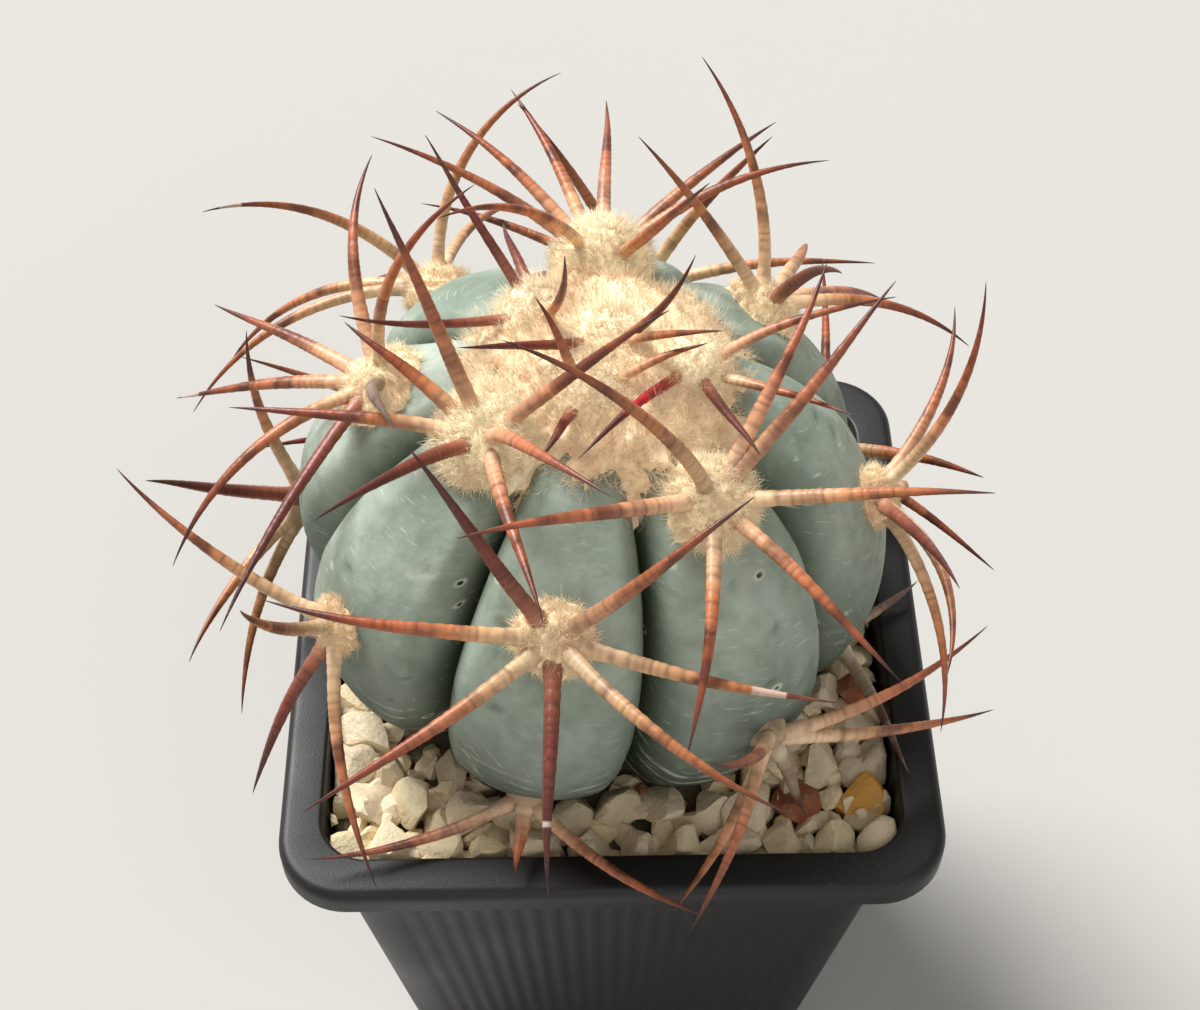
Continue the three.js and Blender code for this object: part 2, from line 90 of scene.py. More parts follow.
def add_piece(name, points, quads, triangles, tint, material):
    """A smooth mesh from whole arrays: points in mm, faces of four and three corners, a colour per point."""
    corners = np.concatenate([quads.ravel(), triangles.ravel()])
    sizes = np.concatenate([np.full(len(quads), 4), np.full(len(triangles), 3)])
    mesh = bpy.data.meshes.new(name)
    mesh.vertices.add(len(points))
    mesh.vertices.foreach_set("co", (points * 0.001).astype(np.float32).ravel())
    mesh.loops.add(len(corners))
    mesh.loops.foreach_set("vertex_index", corners.astype(np.int32))
    mesh.polygons.add(len(sizes))
    mesh.polygons.foreach_set("loop_start", (np.cumsum(sizes) - sizes).astype(np.int32))
    mesh.polygons.foreach_set("use_smooth", np.ones(len(sizes), bool))
    mesh.update(calc_edges=True)
    if tint is not None:
        opaque = np.column_stack([tint, np.ones(len(tint))])
        colours = mesh.color_attributes.new("tint", "FLOAT_COLOR", "POINT")
        colours.data.foreach_set("color", opaque.astype(np.float32).ravel())
    made = bpy.data.objects.new(name, mesh)
    bpy.context.scene.collection.objects.link(made)
    mesh.materials.append(material)
    return made


def grid_quads(rows, columns):
    """The faces of a grid of points whose last column joins its first."""
    row, column = np.meshgrid(np.arange(rows - 1), np.arange(columns), indexing="ij")
    here = row * columns + column
    beside = row * columns + (column + 1) % columns
    return np.stack([here, beside, beside + columns, here + columns], -1).reshape(-1, 4)


def weld(points, quads, tint=None):
    """Joins points that lie within a micron. A face that this leaves with three corners becomes a triangle,
    and one with fewer is dropped."""
    _, first, joined = np.unique(np.round(points, 3), axis=0, return_index=True, return_inverse=True)
    quads = joined.ravel()[quads]
    quads = quads[(quads[:, 0] != quads[:, 2]) & (quads[:, 1] != quads[:, 3])]
    doubled = quads == np.roll(quads, -1, axis=1)
    short = doubled.sum(1) == 1
    triangles = quads[short][~doubled[short]].reshape(-1, 3)
    return points[first], quads[doubled.sum(1) == 0], triangles, tint if tint is None else tint[first]


def add_node(tree, kind, inputs=None, **settings):
    """A shader node with its settings, and its inputs set to numbers, colours or another node's output."""
    made = tree.nodes.new(kind)
    for name, value in settings.items():
        setattr(made, name, value)
    for name, value in (inputs or {}).items():
        if isinstance(value, bpy.types.NodeSocket):
            tree.links.new(value, made.inputs[name])
        else:
            made.inputs[name].default_value = value
    return made


def new_material(name, **values):
    """A material and its one Principled shader, with uniform values set on the shader itself."""
    material = bpy.data.materials.new(name)
    material.use_nodes = True
    shader = material.node_tree.nodes["Principled BSDF"]
    for socket, value in values.items():
        shader.inputs[socket.replace("_", " ")].default_value = value
    return material, material.node_tree, shader


def noise(tree, scale, detail, stretch=(1, 1, 1), rough=0.5, tilt=(0, 0, 0)):
    """Noise over the object's coordinates, about that many lumps a metre, drawn out along tilted axes."""
    place = add_node(tree, "ShaderNodeTexCoord").outputs["Object"]
    place = add_node(tree, "ShaderNodeMapping", {"Vector": place, "Rotation": tilt}).outputs["Vector"]
    place = add_node(tree, "ShaderNodeMapping", {"Vector": place, "Scale": stretch}).outputs["Vector"]
    inputs = {"Vector": place, "Scale": scale, "Detail": detail, "Roughness": rough}
    return add_node(tree, "ShaderNodeTexNoise", inputs).outputs["Fac"]


def step_up(tree, value, low, high):
    """0 below low, 1 above high, and an even slope between them."""
    inputs = {"Value": value, "From Min": low, "From Max": high}
    return add_node(tree, "ShaderNodeMapRange", inputs).outputs["Result"]


def turn_to(tree, share, first, second):
    """One colour that turns into another as share goes from 0 to 1."""
    made = add_node(tree, "ShaderNodeMix", {0: share, 6: first, 7: second}, data_type="RGBA")
    return made.outputs[2]


def product(tree, first, second):
    """Two values multiplied."""
    return add_node(tree, "ShaderNodeMath", {0: first, 1: second}, operation="MULTIPLY").outputs[0]


def stain(tree, colour, mask, strength, tint):
    """A colour that turns towards an sRGB tint by the mask times the strength."""
    return turn_to(tree, product(tree, mask, strength), colour, linear(*tint))


def cover(tree, shader, colour, height, distance, strength=1.0):
    """Gives the shader its colour, and fine relief of that depth in metres on the modelled surface."""
    tree.links.new(colour, shader.inputs["Base Color"])
    inputs = {"Height": height, "Distance": distance, "Strength": strength}
    tree.links.new(add_node(tree, "ShaderNodeBump", inputs).outputs["Normal"], shader.inputs["Normal"])


def square_quarter(half, corner, flute):
    """A quarter of a rounded square from (half, 0) to (0, half), anticlockwise: straight sides, which
    cosine waves draw in by the flute's depth, and an arc between them."""
    inset = half - corner
    share = np.arange(SIDE_POINTS) / SIDE_POINTS
    wave = half - flute * (1 - np.cos(2 * np.pi * FLUTES * share)) / 2
    turn = np.linspace(0, np.pi / 2, CORNER_POINTS + 1)
    side = np.stack([wave, share * inset], 1)
    bend = inset + corner * np.stack([np.cos(turn), np.sin(turn)], 1)
    return np.concatenate([side, bend, side[::-1, ::-1]])


def four_ways(points):
    """Points of one quarter of the pot, and the same turned a quarter, a half and three quarters round."""
    x, y, z = points[..., 0], points[..., 1], points[..., 2]
    return np.stack([np.stack(turned, -1) for turned in [(x, y, z), (-y, x, z), (-x, -y, z), (y, -x, z)]])


def outer_half(z):
    """Half the outer width of the walls, which widen evenly from foot to mouth."""
    return mix(FOOT_HALF, MOUTH_HALF + WALL, z / POT_HEIGHT)


def inner_half(z):
    """Half the inner width: the outer one less the wall."""
    return outer_half(z) - WALL


def inner_corner(z):
    """The inner corner's radius, which changes evenly from foot to mouth."""
    return mix(FOOT_CORNER - WALL, MOUTH_CORNER, z / POT_HEIGHT)


def pot_profile():
    """The rings from the foot up the outside, over the flange and down the inside: half width, corner
    radius, height and depth of the flutes. Small steps and quarter circles round the edges."""
    under = POT_HEIGHT - WALL
    lip_foot = POT_HEIGHT - RIM_DROP
    lip = RIM_HALF - WALL
    lip_corner = RIM_CORNER - WALL
    neck_corner = MOUTH_CORNER + WALL
    rows = [(FOOT_HALF - FOOT_ROUND, FOOT_CORNER - FOOT_ROUND, 0, 0),
            (FOOT_HALF - 0.45, FOOT_CORNER - 0.45, 0.15, 0)]
    rows += [(outer_half(z), FOOT_CORNER, z, 0) for z in (0.6, 1.0, 4.0)]
    rows += [(outer_half(z), mix(FOOT_CORNER, neck_corner, z / POT_HEIGHT), z, FLUTE_DEPTH)
             for z in np.linspace(5.0, under - 5, 8)]
    rows += [(outer_half(z), neck_corner, z, 0) for z in (under - 4, under - 0.3)]
    rows += [(outer_half(under) + 0.3, neck_corner, under, 0), (lip - 0.4, lip_corner, under, 0),
             (lip - 0.1, lip_corner, under - 0.3, 0), (lip, lip_corner, lip_foot + 0.2, 0),
             (lip + 0.2, lip_corner + 0.2, lip_foot, 0), (RIM_HALF - 0.3, RIM_CORNER - 0.3, lip_foot, 0),
             (RIM_HALF, RIM_CORNER, lip_foot + 0.3, 0)]
    for angle in np.linspace(0, np.pi / 2, 9):
        back = RIM_ROUND * (1 - np.cos(angle))
        rows.append((RIM_HALF - back, RIM_CORNER - back, POT_HEIGHT - RIM_ROUND * (1 - np.sin(angle)), 0))
    rows.append((RIM_HALF - RIM_ROUND - 0.4, RIM_CORNER - RIM_ROUND - 0.4, POT_HEIGHT, 0))
    for angle in np.linspace(0, np.pi / 2, 5):
        back = MOUTH_ROUND * (1 - np.sin(angle))
        rows.append((MOUTH_HALF + back, MOUTH_CORNER + back,
                     POT_HEIGHT - MOUTH_ROUND * (1 - np.cos(angle)), 0))
    return rows + [(inner_half(z), inner_corner(z), z, 0) for z in (POT_HEIGHT - 5, 40, FLOOR_THICKNESS)]


def pot_mesh():
    """The walls and flange as one grid of rings, and the floor as four grids, one round each drain hole:
    from the floor's edge in to the hole, down through it and out again underneath."""
    profile = pot_profile()
    quarters = []
    for half, corner, z, flute in profile:
        flat = square_quarter(half, corner, flute)[:-1]
        quarters.append(np.column_stack([flat, np.full(len(flat), z)]))
    columns = 4 * len(quarters[0])
    points = four_ways(np.stack(quarters)).transpose(1, 0, 2, 3).reshape(-1, 3)
    quads = grid_quads(len(profile), columns)
    floor_rows = []
    for half, corner, z in [(inner_half(FLOOR_THICKNESS), inner_corner(FLOOR_THICKNESS), FLOOR_THICKNESS),
                            (FOOT_HALF - FOOT_ROUND, FOOT_CORNER - FOOT_ROUND, 0)]:
        edge = square_quarter(half, corner, 0)
        back = np.linspace(half, 0, 20)[1:]
        inner = [np.stack([0 * back, back], 1), np.stack([back[::-1][1:-1], 0 * back[2:]], 1)]
        edge = np.concatenate([edge, *inner])
        hole = DRAIN_OFFSET + DRAIN_RADIUS * unit(edge - DRAIN_OFFSET)
        rows = [np.column_stack([mix(edge, hole, share), np.full(len(edge), z)])
                for share in (0, 0.5, 0.97, 1)]
        floor_rows += rows if z else rows[::-1]
    floor_quads = grid_quads(len(floor_rows), len(floor_rows[0]))
    for patch in four_ways(np.stack(floor_rows)):
        quads = np.concatenate([quads, floor_quads + len(points)])
        points = np.concatenate([points, patch.reshape(-1, 3)])
    return weld(points, quads)


black_plastic, tree, shader = new_material("black_polypropylene", Roughness=0.5, Specular_IOR_Level=0.45)
dust = step_up(tree, noise(tree, 2600, 2), 0.70, 0.78)
haze = step_up(tree, noise(tree, 60, 4), 0.35, 0.8)
colour = turn_to(tree, haze, linear(15, 15, 16), linear(29, 28, 27))
colour = stain(tree, colour, dust, haze, (132, 126, 116))
dullness = add_node(tree, "ShaderNodeMapRange", {"Value": haze, "To Min": 0.42, "To Max": 0.6})
tree.links.new(dullness.outputs["Result"], shader.inputs["Roughness"])
cover(tree, shader, colour, noise(tree, 3500, 3), 0.00006, 0.5)

pot = add_piece("nursery_pot", *pot_mesh(), black_plastic)
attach(pot, "root")
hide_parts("pot")


# SOIL. Dark peat and grit that fills the pot up to the gravel and holds the root.
# Only the drain holes show it, so it keeps its plain solid.

peat, tree, shader = new_material("peat", Roughness=0.95)
crumb = noise(tree, 700, 5)
cover(tree, shader, turn_to(tree, crumb, linear(38, 27, 18), linear(84, 64, 44)), crumb, 0.0006)
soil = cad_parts["soil"]
for material_slot in soil.material_slots:
    material_slot.material = peat


# STEM. The living body of the cactus: a squat globe of eight broad ribs with narrow
# creases, its skin under a matt blue-grey bloom that scratches, pits and growth
# wrinkles break. It sits down in the gravel on its own root.

STEM_CENTRE = np.array([-2.5, 3.0, POT_HEIGHT + 17.8])
STEM_GIRTH = 41.0
CROWN_RISE = 34.5
BASE_DROP = 31.0
ROOT_DEPTH = 50.0
RIBS = 8
CREASE_DEPTH = 0.31
RIB_TWIST = 0.1
REFERENCE_AZIMUTH = -50.0
REFERENCE_HEIGHT = 66.0
RIB_STEPS = 46
PIT_COUNT = 150
WRINKLE_GAP = 1.9


def draw(first, second):
    """A repeatable draw from 0 to 1: the fraction of 43758.5453 times the sine of 12.9898 a + 78.233 b."""
    value = np.sin(np.asarray(first) * 12.9898 + np.asarray(second) * 78.233) * 43758.5453
    return value - np.floor(value)


def ridge_turn(height):
    """The azimuth of the first ridge: it turns a tenth of a degree for each degree that it descends."""
    return REFERENCE_AZIMUTH - RIB_TWIST * (REFERENCE_HEIGHT - height)


def rib_across(azimuth, height):
    """0 on a ridge, 1 in a crease."""
    offset = (azimuth - ridge_turn(height)) * RIBS / 360
    return np.abs(offset - np.round(offset)) * 2


def rib_share(azimuth, height):
    """The share of the radius over the ridges: 1 less the crease depth times a round-bottomed shape."""
    crease = 1 - np.sqrt(1 - (0.97 * rib_across(azimuth, height)) ** 2.4)
    crown_fade = np.clip((90 - height) / 38, 0, 1)
    base_fade = np.clip((height + 75) / 45, 0, 1)
    return 1 - CREASE_DEPTH * crease * np.sqrt(crown_fade) * base_fade


def stem_point(azimuth, height):
    """A point of the ribbed ellipsoid in mm, at an azimuth from the front and a height in degrees."""
    turn, rise = np.radians(azimuth), np.radians(height)
    share = rib_share(azimuth, height)
    radius = STEM_GIRTH * share * np.cos(rise)
    reach = np.where(np.asarray(height) >= 0, CROWN_RISE, BASE_DROP)
    level = reach * mix(1, share, 0.35) * np.sin(rise)
    return np.stack([radius * np.sin(turn), -radius * np.cos(turn), level], -1) + STEM_CENTRE


def height_over_stem(points):
    """How far points stand off the stem: their distance from its middle, less its surface's there."""
    away = np.asarray(points) - STEM_CENTRE
    across = np.hypot(away[..., 0], away[..., 1]) / STEM_GIRTH
    up = away[..., 2] / np.where(away[..., 2] >= 0, CROWN_RISE, BASE_DROP)
    azimuth = np.degrees(np.arctan2(away[..., 0], -away[..., 1]))
    height = np.degrees(np.arctan2(up, across))
    share = rib_share(azimuth, height) / np.hypot(across, up)
    return np.linalg.norm(away, axis=-1) * (1 - share)


def ripple(points, wavelength, seed):
    """Smooth noise, mostly from -1 to 1: a quarter of the sum of eight sine waves, of about that length in
    mm, that cross at seeded angles."""
    total = np.zeros(points.shape[:-1])
    for wave in range(8):
        way = unit(np.array([draw(seed, 10 * wave + axis) - 0.5 for axis in range(3)]))
        way = way * 2 * np.pi / wavelength
        start = 6.3 * draw(seed, wave + 80)
        total = total + np.sin(points @ way * (0.7 + 0.6 * draw(seed, wave + 90)) + start)
    return total / 4


def stem_mesh():
    """Rings of points up the ribbed ellipsoid, closer together towards the creases, over three rings for
    the root. Relief moves them out and in: long and short waves, wrinkles round the base, a bulge beside
    each crease, a fold in it, and seeded pits. The colour holds masks: red for painted shade in the
    creases, green down the base, where the skin turns darker, partly its own colour and partly painted
    shade, and blue for painted shade in the pits."""
    heights = np.concatenate([np.linspace(-64, -36, 5), np.linspace(-33, 88, 116)])
    steps = np.sin(np.pi / 2 * (2 * np.arange(RIB_STEPS) / RIB_STEPS - 1)) / 2
    turns = (np.arange(RIBS)[:, None] + steps).ravel() * 360 / RIBS
    height = np.repeat(heights[:, None], len(turns), 1)
    azimuth = ridge_turn(height) + turns
    points = stem_point(azimuth, height)
    outward = points - STEM_CENTRE
    outward[..., 2] *= 1.4
    outward = unit(outward)
    base = np.clip((26 - height) / 56, 0, 1)
    level = points[..., 2] + 1.2 * ripple(points, 26, 3)
    wrinkle = np.sin(2 * np.pi * level / WRINKLE_GAP) * np.clip(ripple(points, 9, 5) + 0.4, 0, 1)
    relief = 0.34 * ripple(points, 24, 1) + 0.14 * ripple(points, 8, 2) + 0.3 * base ** 3 * wrinkle
    across = rib_across(azimuth, height)
    fade = np.clip((84 - height) / 30, 0, 1)
    relief += fade * (0.7 * np.exp(-((across - 0.7) / 0.17) ** 2) - 2.2 * np.exp(-((1 - across) / 0.06) ** 2))
    pits = np.zeros(height.shape)
    for pit in range(PIT_COUNT):
        where = 360 * draw(pit, 301)
        high = 70 * draw(pit, 302) ** 0.8 - 26
        size = 0.35 + 0.75 * draw(pit, 303) ** 3
        middle = stem_point(where, high)
        away = (points - middle) * np.array([1, 1, 1.5 + draw(pit, 304)])
        pits = np.maximum(pits, np.exp(-np.sum(away ** 2, -1) / size ** 2))
    relief -= 0.45 * pits
    points = points + outward * relief[..., None]
    turn = np.radians(azimuth[0])
    root = [np.stack([radius * np.sin(turn), -radius * np.cos(turn), 0 * turn + level], -1) + STEM_CENTRE
            for radius, level in [(0, -ROOT_DEPTH), (5, 8 - ROOT_DEPTH), (9, -3 - BASE_DROP)]]
    crown = np.repeat(STEM_CENTRE + [[0, 0, CROWN_RISE]], len(turns), 0)
    rows = [*root, *points, crown]
    masks = np.zeros((len(rows), len(turns), 3))
    # Red: painted shade, strongest deep in the creases.
    masks[3:-1, :, 0] = np.clip((across - 0.6) / 0.4, 0, 1) ** 3
    # Green: darker skin down the base, partly its own colour and partly painted shade.
    masks[3:-1, :, 1] = base
    # Blue: painted shade in the pits.
    masks[3:-1, :, 2] = pits
    return weld(np.stack(rows).reshape(-1, 3), grid_quads(len(rows), len(turns)), masks.reshape(-1, 3))


def mesh_tint(tree):
    """The colour that the mesh holds at each point."""
    return add_node(tree, "ShaderNodeVertexColor", layer_name="tint").outputs["Color"]


skin, tree, shader = new_material("bloomed_skin", Roughness=0.62, Specular_IOR_Level=0.35)
split = add_node(tree, "ShaderNodeSeparateColor", {"Color": mesh_tint(tree)}).outputs
cloud = step_up(tree, noise(tree, 55, 4), 0.3, 0.7)
bloom = turn_to(tree, cloud, linear(118, 133, 118), linear(176, 187, 173))
mottle = step_up(tree, noise(tree, 420, 5), 0.35, 0.75)
bloom = stain(tree, bloom, mottle, 0.45, (104, 120, 101))
smear = step_up(tree, noise(tree, 75, 5, (1.6, 1.6, 0.5)), 0.5, 0.72)
bloom = stain(tree, bloom, smear, 0.5, (186, 196, 184))
# Darker skin down the base: partly its own colour, partly painted shade.
bloom = turn_to(tree, split["Green"], bloom, linear(32, 42, 28))
# Painted shade: the skin darkened in the creases.
bloom = turn_to(tree, split["Red"], bloom, linear(70, 84, 60))
streak = step_up(tree, noise(tree, 130, 3, (9, 9, 1.6), tilt=(0.6, 0.45, 0)), 0.62, 0.7)
scratch = step_up(tree, noise(tree, 190, 3, (1.6, 1.6, 12), tilt=(0.25, -0.2, 0)), 0.63, 0.71)
patch = step_up(tree, noise(tree, 45, 2), 0.42, 0.62)
bare = step_up(tree, noise(tree, 45, 2), 0.46, 0.34)
bloom = stain(tree, bloom, product(tree, streak, bare), 0.6, (200, 208, 196))
bloom = stain(tree, bloom, product(tree, scratch, patch), 0.6, (202, 208, 194))
place = add_node(tree, "ShaderNodeTexCoord").outputs["Object"]
growth = {"Vector": place, "Scale": 118.0, "Distortion": 9.0, "Detail": 3.0, "Detail Scale": 0.3}
growth = add_node(tree, "ShaderNodeTexWave", growth, bands_direction="Z").outputs["Fac"]
broken = step_up(tree, noise(tree, 170, 5), 0.5, 0.62)
low = step_up(tree, split["Green"], 0.4, 0.85)
growth = product(tree, product(tree, step_up(tree, growth, 0.7, 0.9), broken), low)
bloom = stain(tree, bloom, growth, 0.8, (204, 206, 188))
# Painted shade in the pits.
bloom = stain(tree, bloom, split["Blue"], 0.5, (66, 70, 56))
place = add_node(tree, "ShaderNodeMapping", {"Vector": place, "Scale": (1, 1, 1.7)}).outputs["Vector"]
sting = add_node(tree, "ShaderNodeTexVoronoi", {"Vector": place, "Scale": 130.0}).outputs["Distance"]
sparse = step_up(tree, noise(tree, 60, 2), 0.5, 0.56)
scar = product(tree, step_up(tree, sting, 0.16, 0.1), sparse)
bloom = stain(tree, bloom, scar, 0.75, (206, 208, 190))
# Painted shade: the middle of each sting scar darkened nearly black as a hole.
hole = product(tree, step_up(tree, sting, 0.085, 0.06), sparse)
bloom = turn_to(tree, hole, bloom, linear(34, 34, 26))
rough_skin = {0: noise(tree, 1100, 5), 1: growth}
rough_skin = add_node(tree, "ShaderNodeMath", rough_skin, operation="ADD").outputs[0]
rough_skin = add_node(tree, "ShaderNodeMath", {0: rough_skin, 1: hole}, operation="SUBTRACT").outputs[0]
cover(tree, shader, bloom, rough_skin, 0.00014, 0.7)

stem = add_piece("cactus_stem", *stem_mesh(), skin)
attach(stem, "root")
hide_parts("stem")


# SPINES. Each areole bears a fan of horny spines, ringed like a ram's horn, that grow
# from one woody boss and bend like claws. They are pale at the root, rust-red along
# the shaft and nearly black at the tip, and the dead ones are grey.

AREOLE_COUNT = 20
LAST_CROWN_AREOLE = 7
LAST_WOOLLY_AREOLE = 13
REFERENCE_AREOLE = 5
RIBS_TURN = 135
ROOT_LIFT = 1.5
ROOT_SPREAD = 2.9
# Each areole's spines as the front view shows them: clock, lean and curl from root to tip
# in degrees, and length in mm.
SEEN_SPINES = {
    1: [(253, 38, -25, 21), (266, 44, 14, 19), (10, 68, -7, 21)],
    2: [(200, 60, 20, 12), (60, 55, 20, 14), (310, 50, 20, 13)],
    3: [(106, 75, -20, 24), (182, 40, 12, 25), (16, 50, -25, 24), (207, 78, 30, 19)],
    4: [(212, 60, 5, 20), (164, 35, 45, 25), (306, 73, 37, 21), (255, 65, 0, 20)],
    5: [(85, 28, 60, 32), (112, 60, 30, 29), (167, 35, 22, 29), (229, 60, 25, 29),
        (298, 35, 0, 32), (33, 55, 10, 29), (268, 50, 30, 20)],
    6: [(38, 40, 54, 31), (89, 50, 26, 32), (121, 50, 24, 30), (177, 52, 22, 29),
        (256, 46, 39, 31), (232, 52, 20, 30), (325, 55, -5, 28), (148, 50, 15, 29)],
    7: [(32, 55, 35, 30), (328, 30, 80, 37), (76, 50, 25, 32), (293, 70, 40, 32),
        (126, 55, 10, 31), (176, 58, 26, 29), (225, 66, 37, 30)],
    8: [(275, 40, 54, 31), (344, 30, 64, 32), (216, 68, 5, 29), (189, 68, 14, 29),
        (134, 52, 57, 34), (114, 80, 15, 36), (53, 52, 37, 27)],
    9: [(28, 63, 11, 29), (58, 27, 43, 33), (150, 65, 35, 29), (177, 70, 25, 29),
        (212, 50, 50, 30), (320, 46, 35, 29)],
    10: [(325, 60, 20, 29), (45, 45, 65, 31), (275, 60, 45, 33), (90, 70, 25, 32),
         (232, 48, 40, 34), (174, 55, 15, 28), (116, 45, 65, 35)],
    11: [(303, 27, 72, 35), (79, 15, 68, 35), (134, 48, 65, 36), (116, 58, 60, 38),
         (180, 60, 35, 30), (235, 60, 35, 30)],
    12: [(87, 53, 39, 30), (40, 26, 50, 31), (135, 75, 60, 14), (270, 40, 64, 32),
         (235, 60, 48, 30), (292, 53, 14, 29)],
    13: [(294, 45, 28, 32), (18, 20, 42, 24), (170, 50, 30, 24), (127, 65, 30, 31)],
    15: [(108, 66, 20, 33), (88, 73, 25, 31), (226, 65, 20, 24), (248, 50, 20, 25),
         (167, 64, 10, 14), (320, 60, 30, 24)],
    16: [(35, 60, 25, 29), (0, 78, 30, 29), (90, 58, 30, 28), (110, 65, 35, 30)],
    18: [(285, 52, 25, 27), (80, 60, 25, 27), (14, 26, 0, 9)],
    20: [(291, 56, 20, 22), (59, 50, 20, 13)],
}


def areole_seat(number):
    """An areole's place on its ridge, three ribs on from the one before, with its outward, upward and
    sideways ways. Its height falls by 5.4 degrees a step and a little more on each older one."""
    age = number - REFERENCE_AREOLE
    height = max(-30.0, REFERENCE_HEIGHT - 5.4 * age - 0.13 * age * age)
    azimuth = ridge_turn(height) - RIBS_TURN * age
    turn, rise = math.radians(azimuth), math.radians(height)
    reach = CROWN_RISE if height >= 0 else BASE_DROP
    outward = unit(np.array([math.cos(rise) * math.sin(turn) / STEM_GIRTH,
                             -math.cos(rise) * math.cos(turn) / STEM_GIRTH, math.sin(rise) / reach]))
    upward = unit(np.array([-STEM_GIRTH * math.sin(rise) * math.sin(turn),
                            STEM_GIRTH * math.sin(rise) * math.cos(turn), reach * math.cos(rise)]))
    return {"number": number, "place": stem_point(azimuth, height), "outward": outward, "upward": upward,
            "sideways": np.cross(upward, outward)}


seats = [areole_seat(number) for number in range(1, AREOLE_COUNT + 1)]


def ruled_spines(number):
    """The spines of an areole that the front view hides: evenly spread, with small seeded changes."""
    clocks = [55, 95, 265, 305] if number >= 17 else [32, 80, 126, 178, 226, 280, 328]
    return [(clock + 16 * (draw(number, index) - 0.5), 52 + 16 * draw(number, index + 20),
             22 + 24 * draw(number, index + 40), 28 + 7 * draw(number, index + 60))
            for index, clock in enumerate(clocks)]


def root_radius(number):
    """The radius of an areole's spines at the root: the four youngest areoles have thin ones."""
    return 0.95 if number <= 4 else 1.3


def spine_radius(share, thick):
    """The radius that the room rule takes: the root's times 1 less the length's share to the power 1.6."""
    return thick * (1 - share ** 1.6) + 0.05


def spine_line(seat, shape, steps):
    """The middle line of a spine: from a root beside the areole's middle it leans over by clock and lean,
    and its tilt grows evenly by the curl from root to tip."""
    clock, lean, curl, length = shape
    aside = seat["upward"] * math.cos(math.radians(clock)) + seat["sideways"] * math.sin(math.radians(clock))
    start = seat["place"] + ROOT_LIFT * seat["outward"] + ROOT_SPREAD * math.sin(math.radians(lean)) * aside
    tilt = np.radians(lean + curl * (np.arange(steps) + 0.5) / steps)[:, None]
    moves = (np.cos(tilt) * seat["outward"] + np.sin(tilt) * aside) * length / steps
    return np.concatenate([start[None], start + np.cumsum(moves, 0)])


def pad_radius(number):
    """The radius of an areole's wool: 8 mm down to the fifth, then 0.45 mm less on each, down to 3.6."""
    return min(8.0, max(3.6, 8 - 0.45 * (number - REFERENCE_AREOLE)))


def pad_height(number):
    """How far an areole's wool rises: 7 mm on the sixth, and from 4.4 to 3 mm down the others."""
    return 7.0 if number == 6 else mix(3, 4.4, min(1.0, max(0.0, (15 - number) / 10)))


TEST_STEPS = 12
STEM_GAP = 0.5
GRAVEL_GAP = 0.6
WOOL_GAP = 0.8
SPINE_GAP = 0.7
placed = []


def has_room(seat, line, thick):
    """Whether a spine clears the stem, gravel, rim, other areoles' wool and the spines placed so far."""
    radius = spine_radius(np.arange(TEST_STEPS + 1) / TEST_STEPS, thick)
    if np.any(height_over_stem(line[2:]) < radius[2:] + STEM_GAP):
        return False
    if np.any(line[4:, 2] < POT_HEIGHT + radius[4:] + GRAVEL_GAP):
        return False
    for other in seats:
        shared = other["number"] <= LAST_CROWN_AREOLE and seat["number"] <= LAST_CROWN_AREOLE
        if other["number"] == seat["number"] or shared:
            continue
        away = line[2:] - other["place"]
        up = away @ other["outward"]
        aside = np.sqrt(np.maximum(0, np.sum(away ** 2, 1) - up ** 2))
        wide = pad_radius(other["number"]) + radius[2:] + WOOL_GAP
        tall = pad_height(other["number"]) + radius[2:] + WOOL_GAP
        if np.any(np.hypot(aside / wide, up / tall) < 1):
            return False
    others = [other for other in placed if other["number"] != seat["number"]]
    if not others:
        return True
    starts = np.concatenate([other["line"][:-1] for other in others])
    spans = np.concatenate([np.diff(other["line"], axis=0) for other in others])
    stage = np.tile(np.arange(TEST_STEPS), len(others))
    girth = np.repeat([other["thick"] for other in others], TEST_STEPS)
    away = line[:, None] - starts
    along = np.clip(np.sum(away * spans, -1) / np.sum(spans ** 2, -1), 0, 1)
    apart = np.linalg.norm(away - along[..., None] * spans, axis=-1)
    needed = radius[:, None] + spine_radius((stage + along) / TEST_STEPS, girth) + SPINE_GAP
    return bool(np.all(apart >= needed))


# The changes to clock, curl and lean that a spine may take to find room, the smallest first.
changes = [(turn, straighten, raised) for turn in (0, 5, -5, 10, -10, 16, -16, 24, -24)
           for straighten in (0, 12, 24, 36, 50, 65) for raised in (0, 8, 16, 26)]
changes.sort(key=lambda change: abs(change[0]) / 6 + change[1] / 14 + change[2] / 8)

for seat in seats:
    thick = root_radius(seat["number"])
    for index, spine in enumerate(SEEN_SPINES.get(seat["number"]) or ruled_spines(seat["number"])):
        clock, lean, curl, length = spine
        for turn, straighten, raised in changes:
            tried = (clock + turn, lean - raised, curl - straighten, length)
            line = spine_line(seat, tried, TEST_STEPS)
            if has_room(seat, line, thick):
                placed.append({"number": seat["number"], "index": index, "line": line, "thick": thick,
                               "shape": tried})
                break


